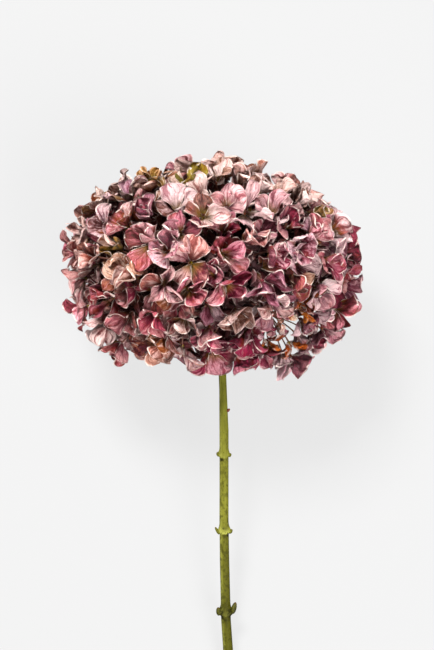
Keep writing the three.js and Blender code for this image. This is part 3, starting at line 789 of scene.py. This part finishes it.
def curve(start, start_way, end, end_way, steps):
    """Points on a smooth curve that leaves start one way and reaches end another way."""
    t = np.linspace(0, 1, steps)[:, None]
    reach = np.linalg.norm(end - start) / 3
    one, two = start + start_way * reach, end - end_way * reach
    return (1 - t) ** 3 * start + 3 * t * (1 - t) ** 2 * one + 3 * t ** 2 * (1 - t) * two + t ** 3 * end


def twig_groups(spots):
    """The florets of a spray in equal groups by their turn, one group for each twig."""
    middle = unit(np.mean([spot["centre"] for spot in spots], axis=0) - HEAD_MIDDLE)
    east = square_to(middle)
    north = np.cross(middle, east)
    ordered = sorted(
        spots, key=lambda spot: math.atan2(spot["direction"] @ north, spot["direction"] @ east)
    )
    groups = max(1, int(len(spots) / FLORETS_PER_TWIG + 0.5))
    return [
        [spot for order, spot in enumerate(ordered) if order * groups // len(ordered) == group]
        for group in range(groups)
    ]


def add_stalks(pile, spots, root, polar, colours, form):
    """The spray's ray out of the stem, its twigs and the pedicels of its florets."""
    tint = colours["pedicel"]
    x, _ = stem_at(root)
    start = laid_down((x, root, 0))
    framed = [spot["centre"] for spot in spots if spot["framed"]]
    fork = HEAD_MIDDLE + (np.mean(framed, axis=0) - HEAD_MIDDLE) * RAY_FORK
    sag = RAY_SAG if polar > 0 else 0
    bend = (start + fork) / 2 - AXIS_A * sag
    line = curve(start, unit(bend - start), fork, unit(fork - bend), len(RAY_RADII))
    add_tube(pile, line, RAY_RADII, tint, 8)
    groups = twig_groups([spot for spot in spots if spot["framed"]])
    knots = np.array([np.mean([spot["centre"] for spot in group], axis=0) for group in groups])
    for spot in spots:
        if not spot["framed"]:
            groups[int(np.argmin(np.linalg.norm(knots - spot["centre"], axis=1)))].append(spot)
    steps = np.linspace(0, 1, PEDICEL_STEPS)
    pedicel_radii = form.pedicel_radius / MM * np.interp(steps, PEDICEL_PLACES, PEDICEL_RADII)
    for group, middle in zip(groups, knots):
        knot = HEAD_MIDDLE + (middle - HEAD_MIDDLE) * TWIG_FORK
        way = unit(knot - fork)
        add_tube(pile, curve(fork - way, way, knot, way, len(TWIG_RADII)), TWIG_RADII, tint, 7)
        for spot in group:
            centre, facing, _, _ = floret_frame(spot, floret_run(spot))
            end = centre - facing * PEDICEL_END
            line = curve(knot - way * PEDICEL_START, unit(end - knot), end, facing, PEDICEL_STEPS)
            add_tube(pile, line, pedicel_radii, tint)


# Stem


def stem_at(a):
    """The stem's middle line and radius at a height, as the CAD model has them."""
    py = HEAD_PX[1] - np.asarray(a) / MM_PER_PX
    x = (np.interp(py, STEM_LINE[:, 1], STEM_LINE[:, 0]) - HEAD_PX[0]) * MM_PER_PX
    return x, np.interp(py, STEM_LINE[:, 1], STEM_LINE[:, 2]) * MM_PER_PX / 2


# Rings of the stem and of its cut end, the cut's coordinates along the stem and how far its last ring is
# from closing, and the outline of the stem's buds: places and widths as shares.
STEM_SIDES = 40
STEM_ROWS = 420
CUT_ROWS = 5
CUT_ALONG = (1.02, 1.1)
CUT_CENTRE = 0.02
SCALE_PLACES = (-0.1, 0.1, 0.3, 0.5, 0.7, 0.82, 0.86)
SCALE_WIDTHS = (0.6, 1.0, 1.05, 0.95, 0.7, 0.35, 0.04)

# A node's ledge: how far below the node it is, how much lower it is at the front, how far it reaches up
# and down as shares of the node's height, and how deep its shade is. Lengths are in millimetres.
LEDGE_DROP = 0.2
LEDGE_VEE = 2.2
LEDGE_RISE = 0.7
LEDGE_FALL = 0.22
LEDGE_SHADE = 1.4

# How narrowly a node stands out to its two sides, and how dark the painted shadow under it is: at the
# least, how much more on its dark side, and where that side sets in and is full.
PAIR_SHARPNESS = 3
SHADOW_LEAST = 0.4
SHADOW_MORE = 1.2
SHADOW_SIDE = (-0.4, 0.9)


def stem_bud(pile, px, py, forward, radius, length, lean, kind):
    """A small pointed bud against the stem."""
    x, a = from_photo(px, py)
    base = laid_down((x, a - length / 2, forward))
    way = unit(AXIS_A + AXIS_X * lean)
    points = [base + way * length * share for share in SCALE_PLACES]
    radii = [radius * share for share in SCALE_WIDTHS]
    add_tube(pile, points, radii, BUD_TINTS[kind], 12)


def stem_nodes(a, turn):
    """How far the nodes stand out at each row and side of the stem, and where light and shade are painted
    on them.
    """
    vee = LEDGE_VEE * np.abs(np.sin(turn))[None, :]
    bulge, lit, shaded = 0, 0, 0
    for py, left, right, front, spread, shade, side in STEM_NODES:
        _, node_a = from_photo(0, py)
        paired = front + (1 - front) * np.abs(np.cos(turn)) ** PAIR_SHARPNESS
        size = (np.where(np.cos(turn) > 0, right, left) * paired)[None, :]
        above = (a - node_a)[:, None] + LEDGE_DROP + vee
        near = bell(above / np.where(above > 0, spread * LEDGE_RISE, spread * LEDGE_FALL))
        bulge = bulge + size * near
        lit = lit + near * front * (above > 0)
        patch = SHADOW_LEAST + SHADOW_MORE * smooth(*SHADOW_SIDE, side * np.cos(turn))[None, :]
        shaded = shaded + patch * bell((above + LEDGE_SHADE) / LEDGE_SHADE) * (above < 0)
        shaded = shaded + shade * bell((above - spread / 2) / spread)
    return bulge, lit, shaded


# Ribs of the bark: their heights in millimetres, how many go round, and how fast the first come and go.
RIB_HEIGHTS = (0.05, 0.04)
RIB_COUNTS = (7, 11)
RIB_WAVE = 9


def stem_ribs(a, turn):
    """How far the bark's low ribs stand out at each row and side of the stem."""
    waving = RIB_HEIGHTS[0] * np.sin(RIB_COUNTS[0] * turn)[None, :] * np.sin(a / RIB_WAVE)[:, None]
    return waving + RIB_HEIGHTS[1] * np.sin(RIB_COUNTS[1] * turn + 1)[None, :]


def stem_mesh():
    """The stem's bark and its cut end."""
    pile = Pile()
    a = np.linspace(STEM_TOP, -STEM_LENGTH, STEM_ROWS)
    x, radius = stem_at(a)
    turn = np.linspace(0, math.tau, STEM_SIDES, endpoint=False)
    bulge, lit, shaded = stem_nodes(a, turn)
    reach = radius[:, None] + bulge + stem_ribs(a, turn)
    cap = np.linspace(1, CUT_CENTRE, CUT_ROWS + 1)[1:, None]
    reach = np.concatenate([reach, reach[-1:] * cap])
    a_all = np.concatenate([a, np.full(CUT_ROWS, a[-1])])
    x_all = np.concatenate([x, np.full(CUT_ROWS, x[-1])])
    local = np.stack([
        x_all[:, None] + reach * np.cos(turn),
        np.broadcast_to(a_all[:, None], reach.shape),
        reach * np.sin(turn),
    ], -1)
    points = HEAD_MIDDLE + local @ HEAD_AXES
    points[..., 2] = np.maximum(points[..., 2], 0)
    along = np.concatenate([-a / STEM_LENGTH, np.linspace(*CUT_ALONG, CUT_ROWS)])
    uv = np.stack(np.meshgrid(turn / math.tau, along), -1)
    detail = np.zeros((*reach.shape, 3))
    # The detail colour carries the painted light on the nodes' ledges and the painted shade round them.
    detail[:STEM_ROWS, :, 0] = lit
    detail[:STEM_ROWS, :, 1] = shaded
    pile.add_grid(points, uv, (0, 0, 0), (0, 0, 0), detail, MAIN_MATERIAL, closed=True)
    for bud in BUDS:
        stem_bud(pile, *bud)
    return pile


# Shaders


class Value:
    """A number in a shader, whose arithmetic adds Math nodes."""

    def __init__(self, shader, socket):
        self.shader = shader
        self.socket = socket

    def __add__(self, other):
        return self.shader.math("ADD", self, other)

    def __radd__(self, other):
        return self.shader.math("ADD", other, self)

    def __sub__(self, other):
        return self.shader.math("SUBTRACT", self, other)

    def __rsub__(self, other):
        return self.shader.math("SUBTRACT", other, self)

    def __mul__(self, other):
        return self.shader.math("MULTIPLY", self, other)

    def __rmul__(self, other):
        return self.shader.math("MULTIPLY", other, self)

    def __truediv__(self, other):
        return self.shader.math("DIVIDE", self, other)

    def __rtruediv__(self, other):
        return self.shader.math("DIVIDE", other, self)

    def sine(self):
        """Its sine."""
        return self.shader.math("SINE", self)

    def size(self):
        """Its size without its sign."""
        return self.shader.math("ABSOLUTE", self)

    def stepped(self, low, high):
        """A smooth step from 0 at low to 1 at high."""
        settings = {"interpolation_type": "SMOOTHSTEP"}
        return self.shader.value("ShaderNodeMapRange", settings, {0: self, 1: low, 2: high})


class Shader:
    """A material with one Principled shader, and short calls for its nodes."""

    def __init__(self, name):
        self.material = bpy.data.materials.new(name)
        self.material.use_nodes = True
        self.tree = self.material.node_tree
        self.principled = next(node for node in self.tree.nodes if node.type == "BSDF_PRINCIPLED")

    def node(self, kind, settings=None, sockets=None):
        """A node with its settings and then its sockets' values or links."""
        node = self.tree.nodes.new(kind)
        for key, setting in (settings or {}).items():
            setattr(node, key, setting)
        for key, value in (sockets or {}).items():
            self.put(node.inputs[key], value)
        return node

    def put(self, socket, value):
        """Links or sets one socket."""
        if isinstance(value, Value):
            value = value.socket
        if isinstance(value, bpy.types.NodeSocket):
            self.tree.links.new(value, socket)
        else:
            socket.default_value = value

    def value(self, kind, settings=None, sockets=None):
        """The number that a new node gives."""
        return Value(self, self.node(kind, settings, sockets).outputs[0])

    def math(self, operation, *values):
        """A Math node of values."""
        return self.value("ShaderNodeMath", {"operation": operation}, dict(enumerate(values)))

    def attribute(self, name):
        """A colour attribute's socket."""
        return self.node("ShaderNodeAttribute", {"attribute_name": name}).outputs["Color"]

    def shape(self):
        """How far across and how far along its grid a place is, from 0 to 1."""
        return self.parts(self.node("ShaderNodeUVMap", {"uv_map": "shape"}).outputs[0])[:2]

    def parts(self, vector):
        """The three numbers of a vector or colour."""
        node = self.node("ShaderNodeSeparateXYZ", None, {0: vector})
        return [Value(self, socket) for socket in node.outputs]

    def vector(self, x, y, z):
        """A vector of three numbers."""
        return self.node("ShaderNodeCombineXYZ", None, {0: x, 1: y, 2: z}).outputs[0]

    def noise(self, place, scale, detail=3.0, roughness=0.5):
        """Noise from 0 to 1."""
        sockets = {"Vector": place, "Scale": scale, "Detail": detail, "Roughness": roughness}
        return self.value("ShaderNodeTexNoise", None, sockets)

    def mix(self, share, one, two, blend="MIX"):
        """Two colours mixed."""
        settings = {"data_type": "RGBA", "blend_type": blend}
        return self.node("ShaderNodeMix", settings, {0: share, 6: one, 7: two}).outputs[2]

    def times(self, colour, factors):
        """A colour with its red, green and blue multiplied."""
        return self.mix(1.0, colour, (*factors, 1.0), "MULTIPLY")

    def bump(self, height, strength, distance):
        """The normal that a height gives over that many metres."""
        sockets = {"Strength": strength, "Distance": distance, "Height": height}
        return self.node("ShaderNodeBump", None, sockets).outputs[0]

    def finish(self, **sockets):
        """Sets the Principled shader's sockets, with underscores for spaces."""
        for key, value in sockets.items():
            self.put(self.principled.inputs[key.replace("_", " ")], value)
        return self.material


def colour4(colour, share=1.0):
    """A linear colour, or a share of it, with full alpha."""
    return (*[float(part) for part in np.array(colour) * share], 1.0)


# Dusty paper that the brightest sepals fade to, partly as real fading and partly as painted sheen, the
# shares of their own colours that dark streaks and veins keep, and how much brighter than the accent
# colour their tips are.
DUSTY_SHEEN = (231, 198, 195)
DARK_STREAK = (0.3, 0.14, 0.17)
DARK_VEIN = (0.42, 0.2, 0.23)
BRIGHT_TIP = (1.6, 1.6, 1.6)
MOSSY_TIP = (1.2, 1.2, 1.0)


def sepal_veins(shader, fan, drift, place):
    """Veins: main ones in a fan, fine ones between them and a net across both."""
    main_veins = (fan * 8.5).sine().size().stepped(0.26, 0.02)
    fine_veins = (fan * 27 + drift * 6).sine().size().stepped(0.35, 0.02)
    settings, sockets = {"feature": "DISTANCE_TO_EDGE"}, {"Vector": place, "Scale": 0.9}
    network = shader.value("ShaderNodeTexVoronoi", settings, sockets).stepped(0.09, 0.0)
    return main_veins * 0.7 + fine_veins * 0.3 + network * 0.3


def sepal_tip(shader, colours, accent, seed, mossy):
    """The colour of a sepal's tip: pale pink or cream over the accent, which a mossy sepal keeps alone."""
    creamy = (seed * 19.7).sine().size().stepped(0.65, 0.8)
    tip = shader.mix(creamy, colour4(colours["pink"]), colour4(colours["cream"]))
    tip = shader.mix(0.65, tip, shader.times(accent, BRIGHT_TIP))
    return shader.mix(mossy, tip, shader.times(accent, MOSSY_TIP))


def dusted_and_sheened(shader, colour, mossy):
    """A sepal's colour, richer where it is dark, as painted bounce light in shade, and dusty where it is
    bright and not mossy, partly as real fading and partly as painted sheen.
    """
    _, brightness, _ = shader.parts(colour)
    # Richer dark colours stand in for coloured light bouncing among the sepals in shade; the dusty mix on
    # bright ones is partly painted sheen.
    richness = 1.28 - brightness.stepped(0.03, 0.4) * 0.3
    dust_and_sheen = brightness.stepped(0.2, 0.55) * (1 - mossy) * 0.55
    sockets = {"Saturation": richness, "Color": colour}
    rich = shader.node("ShaderNodeHueSaturation", None, sockets).outputs[0]
    return shader.mix(dust_and_sheen, rich, colour4(linear(DUSTY_SHEEN)))


def sepal_material(colours):
    """Papery sepals: fan veins, pale margins, brown ageing, small specks, painted shade in the hearts and
    painted highlight at the tips.
    """
    shader = Shader("sepal_paper")
    across, along = shader.shape()
    margin, seed, age = shader.parts(shader.attribute("detail"))
    tint, accent = shader.attribute("tint"), shader.attribute("accent")
    red, green, blue = shader.parts(tint)
    own, bright = red.stepped(0.02, 0.12), red.stepped(0.04, 0.36)
    mossy = (blue / green).stepped(0.45, 0.3)
    place = shader.vector(across * 16 + seed * 57, along * 18, seed * 31)
    drift = shader.noise(place, 0.25, 2.0)
    mottle = shader.noise(place, 0.45, 4.0, 0.6)
    fan = (across - 0.5) * 2 / (along + 0.3) + drift * 0.5
    veins = sepal_veins(shader, fan, drift, place)
    streak = shader.noise(shader.vector(fan * 3.2 + seed * 40, along * 1.4, seed * 9), 1.0, 4.0, 0.6)
    tip = sepal_tip(shader, colours, accent, seed, mossy)
    colour = shader.mix(mottle.stepped(0.45, 0.7) * 0.5, tint, accent)
    # Pale tips: partly the sepals' own paler colour and partly painted highlight.
    pale_tip_and_highlight = (seed * 7.3).sine().size().stepped(0.1, 0.9) * along.stepped(0.4, 0.95)
    colour = shader.mix(pale_tip_and_highlight * bright * 0.8, colour, tip)
    colour = shader.mix(streak.stepped(0.52, 0.62) * (bright * 0.6 + own * 0.15), colour, tip)
    colour = shader.mix(streak.stepped(0.48, 0.37) * 0.75, colour, shader.times(tint, DARK_STREAK))
    # The dark heart at a sepal's base is partly its own brown and partly painted shade deep in the cup.
    dark_heart, warm_heart = colour4(colours["maroon"], 0.35), colour4(colours["olive"], 0.6)
    heart_and_cup_shade = shader.mix(age.stepped(0.45, 0.7), dark_heart, warm_heart)
    colour = shader.mix(along.stepped(0.58, 0.05) * own * 0.85, colour, heart_and_cup_shade)
    colour = shader.mix(veins * 0.7, colour, shader.times(colour, DARK_VEIN))
    browning = shader.noise(place, 0.16, 3.0).stepped(0.5, 0.75) * age
    colour = shader.mix(browning * own * 0.6, colour, colour4(colours["brown"]))
    colour = dusted_and_sheened(shader, colour, mossy)
    edge = (margin * FULL_MARGIN + mottle * 0.5).stepped(1.0, 0.45) * drift.stepped(0.42, 0.56)
    colour = shader.mix(edge * own * 0.85, colour, colour4(colours["rim"]))
    specks = shader.noise(place, 3.2, 1.0).stepped(0.70, 0.78)
    colour = shader.mix(specks * own * 0.5, colour, colour4(colours["brown"], 0.5))
    height = veins * 0.6 + mottle * 1.2 + streak * 1.6 + shader.noise(place, 1.6, 3.0) * 0.4
    normal = shader.bump(height, 1.0, 0.0013)
    return shader.finish(Base_Color=colour, Roughness=0.5, Normal=normal, Specular_IOR_Level=0.4)


def stalk_material(colours):
    """Thin dried stalks, pinkish brown with darker streaks."""
    shader = Shader("pedicel_skin")
    across, along = shader.shape()
    streak = shader.noise(shader.vector(across * 6, along * 3, 0.0), 1.5, 3.0)
    dark, light = colour4(colours["pedicel"], 0.5), colour4(colours["pedicel"], 1.4)
    colour = shader.mix(streak.stepped(0.35, 0.7), dark, light)
    return shader.finish(Base_Color=colour, Roughness=0.7)


# Pale wood of the stem's cut, in linear light, and the shares of the bark's dark colour that its
# blotches, its streaks and lenticels, and the painted shade under its nodes have.
CUT_WOOD = (0.42, 0.33, 0.2, 1.0)
BLOTCH_SHARE = 0.5
STREAK_SHARE = 0.4
LEDGE_SHARE = 0.3


def bark_sides(shader, look, around, along):
    """The bark's greens: darker low down, with painted shade on the right there and painted light down the
    left.
    """
    dark, light = colour4(look.stem_dark), colour4(look.stem_light)
    from_left = (around - 0.5).size()
    colour = shader.mix(along.stepped(0.54, 0.84) * 0.8, light, dark)
    # Painted shade on the right low down, and painted light down the left.
    colour = shader.mix(from_left.stepped(0.12, 0.3) * along.stepped(0.55, 0.7) * 0.6, colour, dark)
    return shader.mix(from_left.stepped(0.22, 0.08) * 0.5, colour, colour4(look.stem_node))


def bark_ledges(shader, look, around, along, colour):
    """The bark with painted light on the ledges of its nodes and mottled painted shade under them."""
    lit, shaded, _ = shader.parts(shader.attribute("detail"))
    rough = shader.noise(shader.vector(around * 6, along * 90, 1.0), 1.0, 3.0)
    colour = shader.mix(lit * rough.stepped(0.2, 0.5) * 2, colour, colour4(look.stem_node))
    # Mottled painted shadow under the ledges.
    mottled_shadow = rough.stepped(0.6, 0.42) * 0.6 + 0.35
    return shader.mix(shaded * mottled_shadow, colour, colour4(look.stem_dark, LEDGE_SHARE))


def stem_material(look):
    """Green-brown bark with paler nodes, painted light and shade at its nodes and sides, streaks along it
    and small dark lenticels.
    """
    shader = Shader("stem_bark")
    around, along = shader.shape()
    colour = bark_sides(shader, look, around, along)
    blotches = shader.noise(shader.vector(around * 7, along * 75, 5.0), 1.0, 3.0, 0.6)
    blotches = blotches.stepped(0.48, 0.6) * along.stepped(0.3, 0.6)
    colour = shader.mix(blotches * 0.6, colour, colour4(look.stem_dark, BLOTCH_SHARE))
    patches = shader.noise(shader.vector(around * 2, along * 16, 3.0), 1.0, 3.0)
    colour = shader.mix(patches.stepped(0.4, 0.75) * 0.6, colour, colour4(look.stem_dark))
    streaks = shader.noise(shader.vector(around * 9, along * 14, 0.0), 2.0, 5.0, 0.6)
    darkest = colour4(look.stem_dark, STREAK_SHARE)
    colour = shader.mix(streaks.stepped(0.45, 0.8) * 0.45, colour, darkest)
    colour = bark_ledges(shader, look, around, along, colour)
    sockets = {"Vector": shader.vector(around * 11, along * 110, 0.0), "Scale": 1.0}
    lenticels = shader.value("ShaderNodeTexVoronoi", None, sockets).stepped(0.26, 0.1)
    colour = shader.mix(lenticels * 0.6, colour, darkest)
    colour = shader.mix(along.stepped(1.0, CUT_ALONG[0]), colour, CUT_WOOD)
    normal = shader.bump(streaks * 0.7 + lenticels * 0.5, 0.5, 0.0004)
    return shader.finish(Base_Color=colour, Roughness=0.6, Normal=normal, Specular_IOR_Level=0.06)


def bud_material(look):
    """Scales of the stem's buds: green, dark in patches on some, and red-brown at the tips and scars."""
    shader = Shader("bud_scale")
    across, along = shader.shape()
    streak = shader.noise(shader.vector(across * 5, along * 2, 0.0), 2.0, 3.0)
    colour = shader.mix(streak.stepped(0.35, 0.7), colour4(look.stem_dark), colour4(look.stem_light))
    scar, dark, _ = shader.parts(shader.attribute("tint"))
    patch = shader.noise(shader.vector(across * 3, along * 2.5, 4.0), 1.6, 2.0).stepped(0.6, 0.42)
    colour = shader.mix(dark * (patch * 0.7 + 0.2), colour, colour4(look.stem_dark, STREAK_SHARE))
    colour = shader.mix(along.stepped(0.6, 1.0) * 0.6 + scar, colour, colour4(look.stem_scale))
    return shader.finish(Base_Color=colour, Roughness=0.6, Specular_IOR_Level=0.12)


# Stage

# The floor's own colour, its glow and how far it reaches, the lights as place, power in watts and side,
# the world's strength, and the camera's distance and sensor in millimetres. Other lengths are metres.
WHITE = (1.0, 1.0, 1.0, 1.0)
FLOOR_COLOUR = (0.05, 0.05, 0.05, 1.0)
FLOOR_GLOW = 0.71
FLOOR_REACH = 40.0
LIGHTS = {"key": ((-0.42, 0.7, 1.5), 56, 0.5), "fill": ((0.75, -0.9, 1.3), 48, 0.9)}
WORLD_STRENGTH = 0.4
CAMERA_DISTANCE = 1500
SENSOR_WIDTH = 36


def floor_material():
    """Pale paper that glows a little, as a lit backdrop does."""
    return Shader("floor_paper").finish(
        Base_Color=FLOOR_COLOUR, Roughness=0.95, Emission_Color=WHITE, Emission_Strength=FLOOR_GLOW
    )


def add_floor():
    """A wide pale floor."""
    mesh = bpy.data.meshes.new("floor")
    corners = [(x * FLOOR_REACH, y * FLOOR_REACH, 0) for x, y in ((-1, -1), (1, -1), (1, 1), (-1, 1))]
    mesh.from_pydata(corners, [], [(0, 1, 2, 3)])
    floor = bpy.data.objects.new("floor", mesh)
    bpy.context.scene.collection.objects.link(floor)
    mesh.materials.append(floor_material())


def add_light(name, place, power, size):
    """A soft square light that faces the head."""
    data = bpy.data.lights.new(name, "AREA")
    data.energy = power
    data.size = size
    light = bpy.data.objects.new(name, data)
    light.location = place
    light.rotation_euler = (Vector(HEAD_MIDDLE * MM) - Vector(place)).to_track_quat("-Z", "Y").to_euler()
    bpy.context.scene.collection.objects.link(light)


def add_world(scene):
    """Even white light from all round."""
    world = bpy.data.worlds.new("studio")
    world.use_nodes = True
    background = world.node_tree.nodes["Background"]
    background.inputs["Color"].default_value = WHITE
    background.inputs["Strength"].default_value = WORLD_STRENGTH
    scene.world = world


def add_camera(scene):
    """The photo's view: straight down on the flower's length, with the photo's frame."""
    data = bpy.data.cameras.new("camera")
    data.sensor_width = SENSOR_WIDTH
    data.lens = CAMERA_DISTANCE * SENSOR_WIDTH / (PHOTO_SIZE[1] * MM_PER_PX)
    camera = bpy.data.objects.new("camera", data)
    x, a = from_photo(PHOTO_SIZE[0] / 2, PHOTO_SIZE[1] / 2)
    axes = Matrix([AXIS_X, AXIS_A, AXIS_F]).transposed().to_4x4()
    camera.matrix_world = Matrix.Translation(laid_down((x, a, CAMERA_DISTANCE)) * MM) @ axes
    scene.collection.objects.link(camera)
    scene.camera = camera


# Add-on


def colour_property(name, description, rgb):
    """A colour that a user would change, given in sRGB from 0 to 255 and kept as linear light."""
    return bpy.props.FloatVectorProperty(
        name=name, description=description, default=tuple(float(share) for share in linear(rgb)),
        min=0, max=1, subtype="COLOR",
    )


def length_property(name, description, default):
    """A length that a user would change."""
    return bpy.props.FloatProperty(
        name=name, description=description, default=default, min=0, soft_max=default * 3,
        unit="LENGTH", precision=5,
    )


class HydrangeaColours(bpy.types.PropertyGroup):
    """Colours of the dried florets."""

    __annotations__ = {
        name: colour_property(name.capitalize(), f"The {name} of the dried florets, as linear light", rgb)
        for name, rgb in PALETTE.items()
    }


class HydrangeaLook(bpy.types.PropertyGroup):
    """Colours of the stem."""

    stem_dark: colour_property("Stem, dark", "Bark low on the stem and on its shaded side", (58, 56, 6))
    stem_light: colour_property("Stem, light", "Bark high on the stem", (98, 97, 29))
    # The nodes' colour also paints the light on the ledges and down the stem's left.
    stem_node: colour_property("Stem, nodes", "Pale bark at the nodes and on the left", (144, 144, 66))
    stem_scale: colour_property("Stem, bud tips", "Dry tips of the stem's buds", (92, 44, 34))


class HydrangeaForm(bpy.types.PropertyGroup):
    """Sizes of the florets."""

    sepal_length: length_property("Sepal length", "Length of a full-sized sepal", 0.0169)
    sepal_width: bpy.props.FloatProperty(
        name="Sepal width", description="Half the sepal's width as a share of its length",
        default=0.48, min=0.1, max=0.8, subtype="FACTOR",
    )
    pleat_depth: length_property("Pleat depth", "Depth of the sepals' fan pleats", 0.00024)
    hem_height: length_property("Hem height", "How far the sepals' margins curl", 0.0007)
    bud_radius: length_property("Bud radius", "Radius of the bud in a floret's middle", 0.0011)
    pedicel_radius: length_property("Pedicel radius", "Radius of a floret's stalk", 0.0004)


def chosen_colours():
    """The palette as the user has set it."""
    group = bpy.context.scene.hydrangea_colours
    return {name: np.array(getattr(group, name)) for name in PALETTE}


def settle(piece, node):
    """Puts a new piece on the root body and hides the CAD node that it stands for."""
    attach(piece, "root")
    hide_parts(node)


class HYDRANGEA_OT_stem(bpy.types.Operator):
    """Builds the stem over its CAD node"""

    bl_idname = "hydrangea.stem"
    bl_label = "Stem"

    def execute(self, context):
        """Builds the stem."""
        look = context.scene.hydrangea_look
        materials = [stem_material(look), bud_material(look)]
        settle(stem_mesh().build("stem_bark", materials), "stem")
        return {"FINISHED"}


class HYDRANGEA_OT_sprays(bpy.types.Operator):
    """Builds the sprays of florets over their CAD nodes"""

    bl_idname = "hydrangea.sprays"
    bl_label = "Sprays"

    def execute(self, context):
        """Builds the sprays."""
        colours, form = chosen_colours(), context.scene.hydrangea_form
        materials = [sepal_material(colours), stalk_material(colours)]
        spots = all_spots()
        for index, (name, root, polar, _) in enumerate(SPRAYS):
            own = [spot for spot in spots if spot["spray"] == index]
            pile = Pile()
            for spot in own:
                add_floret(pile, spot, colours, form)
            add_stalks(pile, own, root, polar, colours, form)
            settle(pile.build(f"{name}_florets", materials), name)
        return {"FINISHED"}


class HYDRANGEA_OT_stage(bpy.types.Operator):
    """Adds the floor, the light and the camera"""

    bl_idname = "hydrangea.stage"
    bl_label = "Stage"

    def execute(self, context):
        """Adds the stage."""
        scene = context.scene
        add_floor()
        for name, (place, power, size) in LIGHTS.items():
            add_light(name, place, power, size)
        add_world(scene)
        scene.view_settings.view_transform = "Standard"
        add_camera(scene)
        return {"FINISHED"}


class HYDRANGEA_PT_panel(bpy.types.Panel):
    """The flower's colours and its pieces"""

    bl_idname = "HYDRANGEA_PT_panel"
    bl_label = "Dried hydrangea"
    bl_space_type = "VIEW_3D"
    bl_region_type = "UI"
    bl_category = "Hydrangea"

    def draw(self, context):
        """Lists the colours and the operators."""
        for group, names in (
            (context.scene.hydrangea_colours, PALETTE),
            (context.scene.hydrangea_look, HydrangeaLook.__annotations__),
            (context.scene.hydrangea_form, HydrangeaForm.__annotations__),
        ):
            for name in names:
                self.layout.prop(group, name)
        for operator in (HYDRANGEA_OT_stem, HYDRANGEA_OT_sprays, HYDRANGEA_OT_stage):
            self.layout.operator(operator.bl_idname)


CLASSES = (
    HydrangeaColours,
    HydrangeaLook,
    HydrangeaForm,
    HYDRANGEA_OT_stem,
    HYDRANGEA_OT_sprays,
    HYDRANGEA_OT_stage,
    HYDRANGEA_PT_panel,
)


def register():
    """Registers the classes and the scene's settings."""
    for each in CLASSES:
        bpy.utils.register_class(each)
    bpy.types.Scene.hydrangea_colours = bpy.props.PointerProperty(type=HydrangeaColours)
    bpy.types.Scene.hydrangea_look = bpy.props.PointerProperty(type=HydrangeaLook)
    bpy.types.Scene.hydrangea_form = bpy.props.PointerProperty(type=HydrangeaForm)


def unregister():
    """Takes the classes and the scene's settings away."""
    del bpy.types.Scene.hydrangea_form
    del bpy.types.Scene.hydrangea_look
    del bpy.types.Scene.hydrangea_colours
    for each in reversed(CLASSES):
        bpy.utils.unregister_class(each)


def main():
    """Builds the whole scene."""
    register()
    bpy.ops.hydrangea.stem()
    bpy.ops.hydrangea.sprays()
    bpy.ops.hydrangea.stage()


if __name__ == "__main__":
    main()
